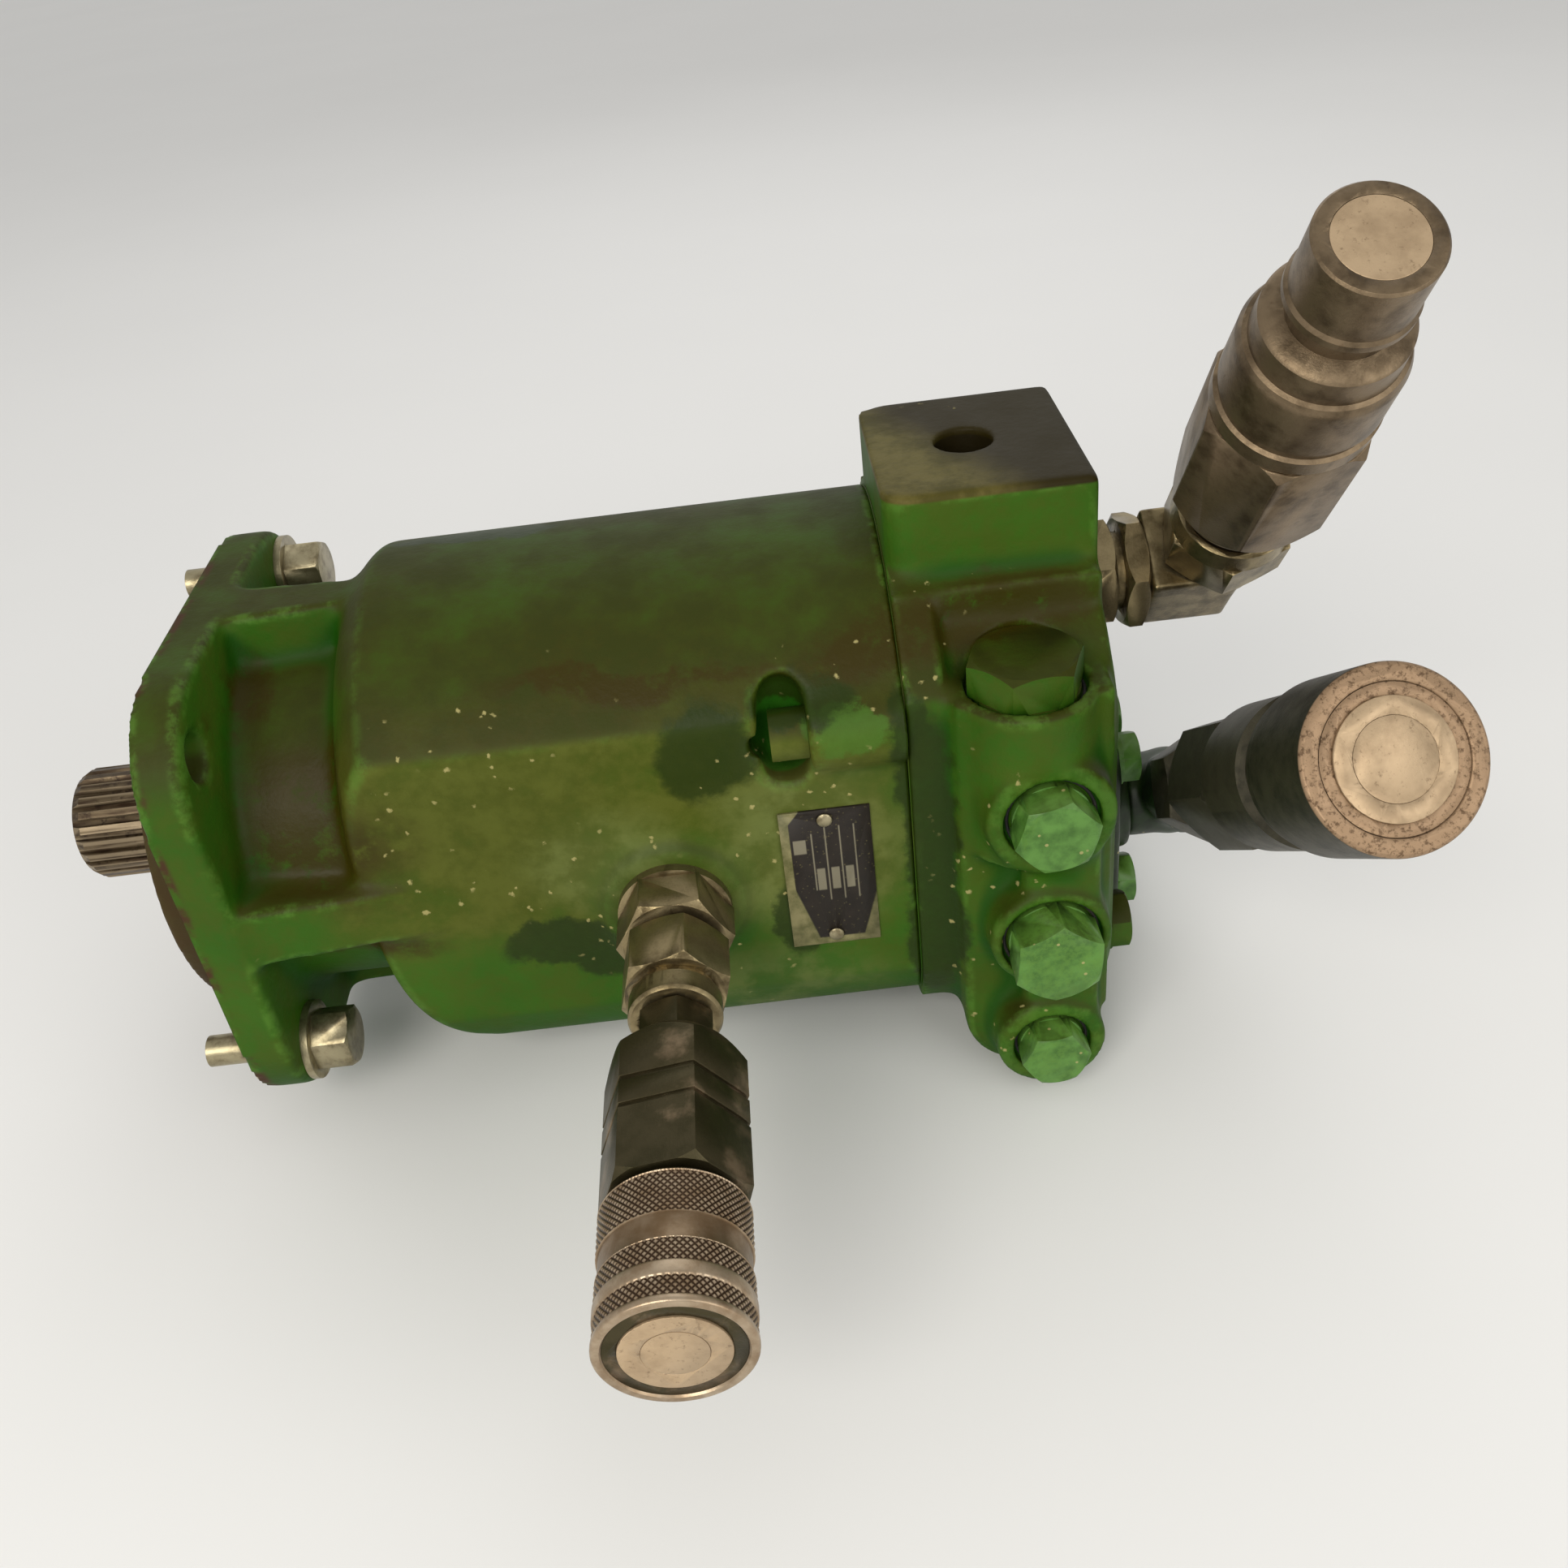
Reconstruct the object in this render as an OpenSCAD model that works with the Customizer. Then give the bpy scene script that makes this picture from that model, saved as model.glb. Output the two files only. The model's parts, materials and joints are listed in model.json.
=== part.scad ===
// Axial-piston hydraulic motor with a square four-bolt flange, a splined shaft and three quick couplers.
// The origin is the centre of the mounting face on the shaft axis. +X runs to the end cap, +Z is up.

/* [Mounting flange] */
// Side of the square flange plate
flange_w = 154; // [150:1:160]
// Corner radius of the flange plate
flange_corner_r = 34; // [28:1:38]
// Thickness of the flange plate
flange_t = 14; // [12:0.5:16]
// Side of the square that the four bolt holes stand on
bolt_square = 114.5; // [114:0.1:115]
// Diameter of the bolt holes
bolt_hole_d = 14.3; // [13.5:0.1:15]
// Diameter of the centring pilot
pilot_d = 127; // [126.9:0.05:127]
// Height of the centring pilot
pilot_h = 12.7; // [10:0.1:12.7]

/* [Shaft] */
// Number of spline teeth
spline_teeth = 23; // [20:1:26]
// Outer diameter of the spline
spline_d = 37.6; // [37:0.1:38]
// Distance from the mounting face to the shaft end
shaft_out = 57; // [54:1:62]

/* [Housing] */
// Length from the mounting face to the end-cap joint
housing_l = 216; // [214:1:218]
// Radius of the rounded top
housing_r = 82.2; // [81:0.1:84]
// Half width between the flat sides
flat_y = 64.7; // [64:0.1:66]
// Depth of the flat bottom below the shaft axis
bottom_z = 78; // [76:1:80]
// Radius of the two lower corners
lower_r = 34; // [30:1:38]
// Radius of the chamber for the rotating group
chamber_r = 58; // [57:0.5:58.5]

/* [Rotating group] */
// Number of pistons
piston_count = 9; // [7:2:9]
// Diameter of each piston
piston_d = 20.8; // [20:0.1:20.9]
// Pitch radius of the pistons
piston_pitch = 38; // [38:0.5:39]
// Tilt of the swashplate in degrees
swash_tilt = 17; // [14:1:17]

/* [End cap] */
// Distance from the mounting face to the cap's outer face
cap_end = 278; // [276:1:280]
// Height of the port block above the shaft axis
block_top = 100.7; // [98:0.1:102]
// Half width of the port block
block_y = 36.5; // [35:0.5:38]
// Distance from the shaft axis to the front of the valve bosses
valve_front = 84; // [83:0.5:85]
// Height of the flat seat under the top plug
plug_seat_z = 53; // [52:0.5:55]

/* [Case drain coupler] */
// Place of the drain port along the shaft axis
drain_x = 141.8; // [140:0.1:144]
// Height of the drain port
drain_z = -11; // [-14:1:-8]
// Distance from the shaft axis to the coupler's face
drain_face = 219.6; // [215:0.1:222]
// Outer radius of the half-inch coupler's sleeve
drain_r = 19; // [18.5:0.1:19]

/* [Return coupler] */
// Height of the return port
return_z = 50; // [49:1:52]
// Tilt of the coupler above the horizontal in degrees
return_elev = 52.3; // [50:0.1:55]
// Distance from the elbow's centre to the nose face
return_l = 160.3; // [158:0.1:162]
// Radius of the coupler's nose
nose_r = 15; // [14.9:0.05:15]

/* [Pressure coupler] */
// Height of the pressure port
pressure_z = -40; // [-42:1:-38]
// Tilt of the coupler above the horizontal in degrees
pressure_elev = 37.6; // [36:0.1:39]
// Turn of the coupler away from the shaft's normal in degrees
pressure_turn = 6.1; // [5:0.1:9]
// Distance from the elbow's centre to the coupler's face
pressure_l = 167.2; // [165:0.1:169]
// Outer radius of the three-quarter-inch coupler's sleeve
pressure_r = 24; // [23.5:0.1:24]

/* [Hidden] */
$fn = 96;
eps = 0.01;
// Radial gap of a part that is screwed or pushed into its hole
gap = 0.05;
hole_at = bolt_square / 2;

// Housing stations along X
neck_r = 60;
rib_r = 76;
// Half width of the upper and lower ribs, and lower and upper edge of the side ribs, at both ends
rib_half = [11.5, 6.5];
side_rib_low = [-9, -12];
side_rib_high = [11.5, 7];
chamber_x = 64;
shoulder_x = 73.5;
shoulder_r = 26;
gasket_t = 0.4;
cap_x = housing_l + gasket_t;
upper_screw = [59, 42];
lower_screw = [50, -52];
screw_r = 5;
boss_r = 12;
drain_boss_r = 22.7;
drain_boss_y = 68;
drain_thread_r = 12.5;

// The cap's rim at the joint, its lower round top behind the rim, and the wider foot of the port block
cap_rim = 12;
cap_r = 77.5;
block_foot = [43, 74];

// Bearings and seal
bearing_r = 42.5;
bearing_x = 20;
bearing_end = 44;
journal_r = 22.5;
rear_journal_r = 15;
rear_bearing_r = 18.5;
roller_count = 16;
roller_tilt = 10;
needle_count = 18;
needle_r = 1.45;
seal_r = 18;

// Rotating group stations along X
ball_x = 104;
ball_r = 7.5;
slipper_r = 12;
pad_h = 9;
piston_l = 58;
block_r = 53.5;
block_x = 132;
plate_t = 6;
plate_x = cap_x - plate_t;
core_r = 19;

// Valve positions on the cap, from the top plug to the lowest
valve_x = 254.5;
top_plug = [251, -63];
gauge_z = 17.5;
shuttle_z = -28;
relief_z = -72;

pressure_x = 313;
pressure_flange_t = 12;
return_x = 322;

// ---- helpers ----

// Cylinder along X from x0 to x1 on the line at c = [y, z]
module x_cyl(x0, x1, r, c = [0, 0], r2 = -1) {
    translate([x0, c[0], c[1]]) rotate([0, 90, 0]) cylinder(h = x1 - x0, r1 = r, r2 = r2 < 0 ? r : r2);
}

// Cylinder along Y from y0 to y1 on the line at c = [x, z]
module y_cyl(y0, y1, r, c) {
    translate([c[0], y1, c[1]]) rotate([90, 0, 0]) cylinder(h = y1 - y0, r = r);
}

// Outline drawn in Y and Z, extruded along X
module yz_extrude(x0, l) {
    translate([x0, 0, 0]) rotate([90, 0, 90]) linear_extrude(l) children();
}

module box(lo, hi) {
    translate(lo) cube(hi - lo);
}

// Hexagonal bar along Z, measured across its flats
module hex(flats, h) {
    cylinder(h = h, r = flats / sqrt(3), $fn = 6);
}

// Hexagonal head along Z with turned chamfers on the end faces that are named
module hex_head(flats, h, low = true, high = true) {
    rc = flats / sqrt(3);
    c = rc - flats / 2;
    intersection() {
        hex(flats, h);
        rotate_extrude() polygon([[0, 0], [low ? flats / 2 : rc, 0], [rc, low ? c * 0.6 : 0],
            [rc, high ? h - c * 0.6 : h], [high ? flats / 2 : rc, h], [0, h]]);
    }
}

// Ring or tube along Z
module tube(ro, ri, z0, z1) {
    translate([0, 0, z0]) difference() {
        cylinder(h = z1 - z0, r = ro);
        translate([0, 0, -1]) cylinder(h = z1 - z0 + 2, r = ri);
    }
}

// Sealing ring around Z
module o_ring(r, section) {
    rotate_extrude() translate([r, 0]) circle(section, $fn = 24);
}

// Places a part made along +Z so that it points forward and up, turned by turn about Z
module aim(p, elev, turn = 0) {
    translate(p) rotate([0, 0, turn]) rotate([90 - elev, 0, 0]) children();
}

module at_drain() { aim([drain_x, -drain_face, drain_z], 0) children(); }
module at_return() { aim([return_x, 0, return_z], return_elev) children(); }
module at_pressure() { aim([pressure_x, 0, pressure_z], pressure_elev, pressure_turn) children(); }

// Coil spring along Z, swept as one six-sided wire
function coil_point(r, h, turns, t) = [r * cos(360 * turns * t), r * sin(360 * turns * t), h * t];
module coil_spring(r, wire, h, turns) {
    steps = turns * 14;
    sides = 6;
    rise = h / (2 * PI * turns);
    lean = atan2(rise, r);
    points = [for (i = [0:steps], s = [0:sides - 1])
        let (t = i / steps, a = 360 * turns * t, q = 360 * s / sides,
            u = wire * cos(q), v = wire * sin(q), p = coil_point(r, h, turns, t))
        [p[0] + u * cos(a) + v * sin(lean) * sin(a), p[1] + u * sin(a) - v * sin(lean) * cos(a),
            p[2] + v * cos(lean)]];
    side_faces = [for (i = [0:steps - 1], s = [0:sides - 1])
        let (n = (s + 1) % sides, a = i * sides + s, b = i * sides + n)
        [a, a + sides, b + sides, b]];
    caps = [[for (s = [0:sides - 1]) s], [for (s = [sides - 1:-1:0]) steps * sides + s]];
    polyhedron(points, concat(side_faces, caps), convexity = 8);
}

// Splined bar along Z: a round bar with a V groove between each pair of teeth
module spline_bar(d, teeth, h) {
    depth = d * 0.048;
    half = PI * d / teeth * 0.27;
    difference() {
        cylinder(h = h, r = d / 2);
        for (i = [0:teeth - 1]) rotate(i * 360 / teeth) translate([0, 0, -1]) linear_extrude(h + 2)
            polygon([[d / 2 - depth, -half * 0.55], [d / 2 + 1, -half * 1.25], [d / 2 + 1, half * 1.25],
                [d / 2 - depth, half * 0.55]]);
    }
}

// ---- housing ----

module flange_outline() {
    inner = flange_w / 2 - flange_corner_r;
    square([flange_w, 2 * inner], center = true);
    square([2 * inner, flange_w], center = true);
    for (y = [-1, 1], z = [-1, 1]) translate([y * inner, z * inner]) circle(flange_corner_r);
}

// Cross-section of the housing: round top, flat sides and rounded lower corners
module housing_section(grow = 0) {
    f = flat_y + grow;
    b = bottom_z + grow;
    intersection() {
        union() {
            circle(housing_r + grow, $fn = 180);
            translate([-f, -b + lower_r]) square([2 * f, b - lower_r]);
            translate([-f + lower_r, -b]) square([2 * (f - lower_r), b]);
            for (s = [-1, 1]) translate([s * (f - lower_r), -b + lower_r]) circle(lower_r);
        }
        square([2 * f, 4 * housing_r], center = true);
    }
}

// Solid of revolution that rounds the front shoulder of the housing
module shoulder_limit() {
    rotate([0, 90, 0]) rotate_extrude() union() {
        translate([0, 44]) square([neck_r, 200]);
        translate([neck_r, shoulder_x]) circle(shoulder_r);
        translate([0, shoulder_x]) square([neck_r + shoulder_r + 0.6, 180]);
    }
}

// Outline between stations x0 and x1, its two edges given at both ends
module rib_outline(low, high) {
    x0 = flange_t - 2;
    polygon([[x0, low[0]], [shoulder_x, low[1]], [shoulder_x, high[1]], [x0, high[0]]]);
}

// Four ribs from the flange to the shoulder; the two side ribs fall to the level of the flat sides
module neck_ribs() {
    side = [rib_r, flat_y + 0.6];
    intersection() {
        union() {
            translate([0, 0, -90]) linear_extrude(180) rib_outline(-rib_half, rib_half);
            translate([0, 90, 0]) rotate([90, 0, 0]) linear_extrude(180)
                rib_outline(side_rib_low, side_rib_high);
        }
        translate([0, 0, -rib_r]) linear_extrude(2 * rib_r) rib_outline(-side, side);
    }
}

// Oval pocket in the housing's side where an upper cap screw is put in
module screw_pocket(side) {
    for (z = [upper_screw[1] - 7, upper_screw[1] + 11])
        y_cyl(side < 0 ? -95 : 51, side < 0 ? -51 : 95, 7, [181, z]);
    box([174, side < 0 ? -95 : 51, upper_screw[1] - 7], [188, side < 0 ? -51 : 95, upper_screw[1] + 11]);
}

module housing() {
    color([0.22, 0.36, 0.13]) difference() {
        union() {
            x_cyl(-pilot_h, eps, pilot_d / 2);
            yz_extrude(0, flange_t) flange_outline();
            x_cyl(flange_t - eps, shoulder_x, neck_r);
            x_cyl(flange_t - eps, flange_t + 3, neck_r + 3, r2 = neck_r);
            neck_ribs();
            intersection() {
                yz_extrude(44, housing_l - 44) housing_section();
                shoulder_limit();
            }
            for (s = [-1, 1]) {
                y_cyl(s < 0 ? -drain_boss_y : 50, s < 0 ? -50 : drain_boss_y, drain_boss_r, [drain_x, drain_z]);
                x_cyl(184, housing_l, boss_r, [s * upper_screw[0], upper_screw[1]]);
            }
        }
        x_cyl(chamber_x, housing_l + 1, chamber_r);
        x_cyl(-pilot_h - 1, bearing_end, bearing_r);
        x_cyl(bearing_end - 1, chamber_x + 1, 31);
        x_cyl(-9.2, -6.8, bearing_r + 2);
        for (y = [-1, 1], z = [-1, 1]) {
            x_cyl(-1, flange_t + 1, bolt_hole_d / 2, [y * hole_at, z * hole_at]);
            x_cyl(flange_t, 46, 14.5, [y * hole_at, z * hole_at]);
        }
        for (s = [-1, 1]) {
            screw_pocket(s);
            x_cyl(170, housing_l + 1, screw_r + 0.5, [s * upper_screw[0], upper_screw[1]]);
            x_cyl(190, housing_l + 1, screw_r + gap, [s * lower_screw[0], lower_screw[1]]);
            y_cyl(s < 0 ? -90 : 30, s < 0 ? -30 : 90, drain_thread_r, [drain_x, drain_z]);
        }
    }
}

module cap_gasket() {
    color([0.12, 0.12, 0.12]) difference() {
        yz_extrude(housing_l, gasket_t) housing_section();
        x_cyl(housing_l - 1, cap_x + 1, chamber_r);
        for (s = [-1, 1], p = [upper_screw, lower_screw])
            x_cyl(housing_l - 1, cap_x + 1, screw_r + 0.5, [s * p[0], p[1]]);
    }
}

// ---- end cap ----

// Rounded rectangle in X and Y, extruded along Z
module port_block() {
    r = 8;
    translate([0, 0, -40]) linear_extrude(block_top + 40) union() {
        translate([cap_x, -block_y + r]) square([cap_end - cap_x, 2 * (block_y - r)]);
        translate([cap_x + r, -block_y]) square([cap_end - cap_x - r, 2 * block_y]);
        for (s = [-1, 1]) translate([cap_x + r, s * (block_y - r)]) circle(r);
    }
}

// Half-ring pocket behind the valve plate
module kidney(side, depth, x) {
    translate([x, 0, 0]) rotate([0, 90, 0]) rotate([0, 0, side < 0 ? -90 - 62 : 90 - 62])
        rotate_extrude(angle = 124) translate([34 - 5.5, 0]) square([11, depth]);
}

module end_cap() {
    color([0.22, 0.40, 0.14]) difference() {
        union() {
            yz_extrude(cap_x, cap_rim) housing_section(2);
            yz_extrude(cap_x + cap_rim - eps, cap_end - cap_x - cap_rim + eps) intersection() {
                housing_section(1);
                union() {
                    circle(cap_r);
                    translate([-100, -100]) square([200, 100]);
                }
            }
            port_block();
            box([cap_x, -block_foot[0], 0], [cap_end, block_foot[0], block_foot[1]]);
            box([229, -72, -70], [275, -40, plug_seat_z]);
            box([247, -valve_front + 3, relief_z], [270, -60, gauge_z]);
            translate([top_plug[0], top_plug[1], 0]) cylinder(h = plug_seat_z, r = 21);
            y_cyl(-valve_front, -40, 19.3, [valve_x, gauge_z]);
            y_cyl(-valve_front, -40, 18.6, [valve_x, shuttle_z]);
            y_cyl(-valve_front, -40, 17.5, [valve_x, relief_z]);
            y_cyl(-72, -40, 21, [valve_x - 4.5, relief_z + 2]);
            y_cyl(-72, -40, 21, [valve_x, plug_seat_z - 21]);
        }
        translate([top_plug[0], top_plug[1], 28]) cylinder(h = 60, r = 11);
        translate([top_plug[0], top_plug[1], plug_seat_z - 4]) cylinder(h = 60, r = 17.6);
        for (v = [[gauge_z, 14.2, 9, 55], [shuttle_z, 15.4, 11, 4], [relief_z, 12.4, 8, 30]]) {
            y_cyl(-valve_front - 1, -valve_front + 4, v[1], [valve_x, v[0]]);
            y_cyl(-valve_front, -v[3], v[2], [valve_x, v[0]]);
        }
        translate([245, 0, block_top - 30]) cylinder(h = 40, r = 9);
        x_cyl(cap_end - 24, cap_end + 1, 13.2, [0, return_z]);
        x_cyl(cap_end - 30, cap_end + 1, 12.5, [0, pressure_z]);
        x_cyl(cap_x - 1, 242, rear_bearing_r);
        for (s = [-1, 1]) {
            x_cyl(cap_x - 1, 226, screw_r + gap, [s * upper_screw[0], upper_screw[1]]);
            x_cyl(cap_x - 1, cap_end + 1, screw_r + 0.5, [s * lower_screw[0], lower_screw[1]]);
            kidney(s, 9, cap_x - 1);
            for (z = [-1, 1])
                x_cyl(cap_end - 14, cap_end + 1, 5 + gap, [s * 13.1, pressure_z + z * 26.2]);
        }
    }
}

module cap_screws() {
    color([0.30, 0.30, 0.28]) for (s = [-1, 1]) {
        x_cyl(188 - eps, 225, screw_r, [s * upper_screw[0], upper_screw[1]]);
        translate([177, s * upper_screw[0], upper_screw[1]]) rotate([0, 90, 0]) difference() {
            cylinder(h = 11, r = 7.8);
            translate([0, 0, -1]) hex(8, 6);
        }
        x_cyl(192, cap_end + eps, screw_r, [s * lower_screw[0], lower_screw[1]]);
        translate([cap_end, s * lower_screw[0], lower_screw[1]]) rotate([0, 90, 0]) {
            cylinder(h = 1.6, r = 10);
            translate([0, 0, 1.5]) hex_head(17, 6.5, low = false);
        }
    }
}

// ---- shaft, bearings and seal ----

module drive_shaft() {
    color([0.36, 0.27, 0.22]) {
        translate([-shaft_out, 0, 0]) rotate([0, 90, 0]) intersection() {
            spline_bar(spline_d, spline_teeth, shaft_out - 8);
            rotate_extrude() polygon([[0, 0], [14.5, 0], [17.2, 1.2], [spline_d / 2, 4], [spline_d / 2, 60],
                [0, 60]]);
        }
        x_cyl(-8 - eps, bearing_x - 1, seal_r);
        x_cyl(bearing_x - 1 - eps, bearing_end + 2, journal_r);
        x_cyl(bearing_end + 2 - eps, 54, 28);
        x_cyl(54 - eps, block_x + 4, 16);
        translate([block_x + 4 - eps, 0, 0]) rotate([0, 90, 0]) spline_bar(2 * core_r - 0.2, 20, 26);
        x_cyl(block_x + 30 - 2 * eps, plate_x + 4, 15.6);
        x_cyl(plate_x + 4 - eps, 239, rear_journal_r);
    }
}

module front_bearing_inner_race() {
    color([0.72, 0.72, 0.70]) rotate([0, 90, 0]) translate([0, 0, bearing_x]) difference() {
        cylinder(h = bearing_end - bearing_x, r1 = 28, r2 = 32);
        translate([0, 0, -1]) cylinder(h = 40, r = journal_r + gap);
    }
}

module front_bearing_outer_race() {
    color([0.72, 0.72, 0.70]) rotate([0, 90, 0]) translate([0, 0, bearing_x]) difference() {
        cylinder(h = bearing_end - bearing_x - gap, r = bearing_r - gap);
        translate([0, 0, -eps]) cylinder(h = bearing_end - bearing_x + 1, r1 = 35.2, r2 = 39.4);
    }
}

module front_bearing_rollers() {
    color([0.62, 0.62, 0.60]) for (i = [0:roller_count - 1]) rotate([i * 360 / roller_count, 0, 0])
        translate([bearing_x + 3, 0, 32.05]) rotate([0, 90 - roller_tilt, 0])
            cylinder(h = 18, r1 = 2.9, r2 = 2.95);
}

module rear_bearing_shell() {
    color([0.72, 0.72, 0.70]) rotate([0, 90, 0])
        tube(rear_bearing_r - gap, rear_journal_r + 2 * needle_r + 0.15, cap_x + 1, cap_x + 21);
}

module rear_bearing_needles() {
    color([0.62, 0.62, 0.60]) for (i = [0:needle_count - 1]) rotate([i * 360 / needle_count, 0, 0])
        x_cyl(cap_x + 3, cap_x + 19, needle_r, [0, rear_journal_r + needle_r + 0.08]);
}

module seal_carrier() {
    color([0.55, 0.55, 0.52]) rotate([0, 90, 0]) difference() {
        translate([0, 0, -6.6]) cylinder(h = bearing_x + 6, r = bearing_r - gap);
        translate([0, 0, -8]) cylinder(h = 16, r = 27);
        cylinder(h = 40, r = 24.5);
        translate([0, 0, 12]) o_ring(bearing_r, 1.7);
    }
}

module shaft_seal() {
    color([0.10, 0.10, 0.10]) rotate([0, 90, 0]) difference() {
        translate([0, 0, -4]) cylinder(h = 11.8, r = 27 - gap);
        translate([0, 0, -5]) cylinder(h = 14, r = seal_r + 0.06);
        translate([0, 0, 2]) difference() {
            cylinder(h = 12, r = 25);
            translate([0, 0, -1]) cylinder(h = 16, r = seal_r + 2);
        }
    }
}

module retaining_ring() {
    color([0.20, 0.20, 0.20]) rotate([0, 90, 0]) difference() {
        tube(bearing_r + 1.8, bearing_r - 4, -9, -7);
        translate([0, -5, -10]) cube([60, 10, 8]);
    }
}

// ---- rotating group ----

// Frame of the swashplate: the origin is the centre of the piston balls and +Z its normal
module inclined() {
    translate([ball_x, 0, 0]) rotate([0, 90 - swash_tilt, 0]) children();
}

function piston_yz(i) = piston_pitch * [sin(i * 360 / piston_count), cos(i * 360 / piston_count)];

module swashplate() {
    color([0.60, 0.60, 0.58]) difference() {
        x_cyl(chamber_x, ball_x + 20, chamber_r - gap);
        inclined() translate([0, 0, -pad_h]) cylinder(h = 80, r = 120);
        x_cyl(chamber_x - 1, ball_x + 30, 22);
    }
}

module cylinder_block() {
    color([0.66, 0.66, 0.64]) difference() {
        x_cyl(block_x, plate_x, block_r);
        for (i = [0:piston_count - 1]) {
            x_cyl(block_x - 1, 200, piston_d / 2 + gap, piston_yz(i));
            x_cyl(199, plate_x + 1, 5, piston_yz(i) * 34 / piston_pitch);
        }
        x_cyl(block_x - 1, plate_x + 1, core_r);
        x_cyl(166, 204, 24.5);
    }
}

module pistons() {
    color([0.75, 0.75, 0.74]) for (i = [0:piston_count - 1]) {
        p = piston_yz(i);
        bx = ball_x - p[1] * tan(swash_tilt);
        difference() {
            x_cyl(bx + 14, bx + 14 + piston_l, piston_d / 2, p);
            x_cyl(bx + 26, bx + 15 + piston_l, piston_d / 2 - 4, p);
        }
        x_cyl(bx + 4, bx + 14 + eps, 5, p);
        translate([bx, p[0], p[1]]) sphere(ball_r - 0.1);
    }
}

// Calls its children at each piston ball's place in the swashplate's frame
module at_slippers() {
    for (i = [0:piston_count - 1]) {
        p = piston_yz(i);
        translate([-p[1] / cos(swash_tilt), p[0], 0]) children();
    }
}

module slippers() {
    color([0.72, 0.60, 0.30]) inclined() at_slippers() difference() {
        union() {
            translate([0, 0, -pad_h + 0.02]) cylinder(h = 4, r = slipper_r);
            translate([0, 0, -pad_h + 3]) cylinder(h = pad_h, r = 9.6);
        }
        sphere(ball_r);
        cylinder(h = 10, r = ball_r - 0.4);
        translate([0, 0, -pad_h - 1]) cylinder(h = 10, r = 1.2);
    }
}

module slipper_retainer() {
    color([0.50, 0.50, 0.48]) inclined() difference() {
        translate([0, 0, -pad_h + 4.3]) cylinder(h = 3, r = 52);
        at_slippers() translate([0, 0, -20]) cylinder(h = 40, r = 9.8);
        sphere(24.2);
    }
}

module ball_guide() {
    color([0.58, 0.58, 0.56]) difference() {
        translate([ball_x, 0, 0]) sphere(23.8);
        x_cyl(ball_x - 40, ball_x + 40, 16 + gap);
        box([ball_x - 40, -40, -40], [ball_x - 2, 40, 40]);
    }
}

module block_spring() {
    color([0.45, 0.45, 0.45]) translate([169, 0, 0]) rotate([0, 90, 0]) coil_spring(20.2, 2, 31, 5);
}

module valve_plate() {
    color([0.70, 0.56, 0.30]) difference() {
        x_cyl(plate_x, cap_x, 50);
        x_cyl(plate_x - 1, cap_x + 1, 16.5);
        for (s = [-1, 1]) kidney(s, plate_t + 2, plate_x - 1);
    }
}

// ---- valves and plugs in the end cap ----

module shuttle_spool() {
    color([0.60, 0.60, 0.60]) difference() {
        union() {
            for (y = [[-46, -38], [-32, -24], [-18, -12]]) y_cyl(y[0], y[1], 11 - gap, [valve_x, shuttle_z]);
            y_cyl(-50, -10, 5.5, [valve_x, shuttle_z]);
        }
        y_cyl(-60, -40, 2, [valve_x, shuttle_z]);
    }
}

module shuttle_spring() {
    color([0.40, 0.40, 0.40]) translate([valve_x, -47.2, shuttle_z]) rotate([90, 0, 0])
        coil_spring(8, 1, 15.6, 4);
}

module relief_poppet() {
    color([0.60, 0.60, 0.60]) translate([valve_x, -31, relief_z]) rotate([90, 0, 0]) {
        cylinder(h = 5, r1 = 3, r2 = 7.8);
        translate([0, 0, 5 - eps]) cylinder(h = 9, r = 7.8);
        translate([0, 0, 14 - 2 * eps]) cylinder(h = 5, r = 4);
    }
}

module relief_spring() {
    color([0.40, 0.40, 0.40]) translate([valve_x, -46.2, relief_z]) rotate([90, 0, 0])
        coil_spring(6, 0.9, 18, 5);
}

// Hexagonal port plug: threaded shank below the seat, then a round collar and the head
module port_plug(flats, shank_r, shank_l, head_h) {
    translate([0, 0, -shank_l]) cylinder(h = shank_l + eps, r = shank_r);
    cylinder(h = 2.5, r = flats / 2 + 0.6);
    translate([0, 0, 2.4]) hex_head(flats, head_h, low = false);
}

module at_front_plug(z) {
    translate([valve_x, -valve_front + 4, z]) rotate([90, 0, 0]) children();
}

module top_plug() {
    color([0.24, 0.42, 0.15]) translate([top_plug[0], top_plug[1], plug_seat_z - 4]) rotate(8)
        port_plug(30, 11 - gap, 16, 11);
}
module gauge_plug() { color([0.26, 0.50, 0.17]) at_front_plug(gauge_z) rotate(12) port_plug(22, 9 - gap, 16, 10); }
module shuttle_plug() {
    color([0.26, 0.50, 0.17]) at_front_plug(shuttle_z) rotate(25) port_plug(25, 11 - gap, 16, 13);
}
module relief_plug() { color([0.26, 0.50, 0.17]) at_front_plug(relief_z) rotate(4) port_plug(19, 8 - gap, 14, 9); }

module plug_seals() {
    color([0.08, 0.08, 0.08]) {
        translate([top_plug[0], top_plug[1], plug_seat_z - 3.4]) o_ring(16.5, 0.6);
        for (v = [[gauge_z, 12.9], [shuttle_z, 14.3], [relief_z, 11.3]])
            at_front_plug(v[0]) translate([0, 0, 0.6]) o_ring(v[1], 0.6);
        at_rear_drain() translate([0, 0, 0.6]) o_ring(18.3, 0.6);
    }
}

module at_rear_drain() {
    translate([drain_x, drain_boss_y, drain_z]) rotate([-90, 0, 0]) children();
}

module rear_drain_plug() {
    color([0.24, 0.42, 0.15]) at_rear_drain() {
        translate([0, 0, -12]) cylinder(h = 12 + eps, r = drain_thread_r - gap);
        cylinder(h = 3, r = 17.5);
        translate([0, 0, 2.9]) hex_head(30, 9, low = false);
    }
}

// ---- nameplate and flange bolts ----

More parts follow.
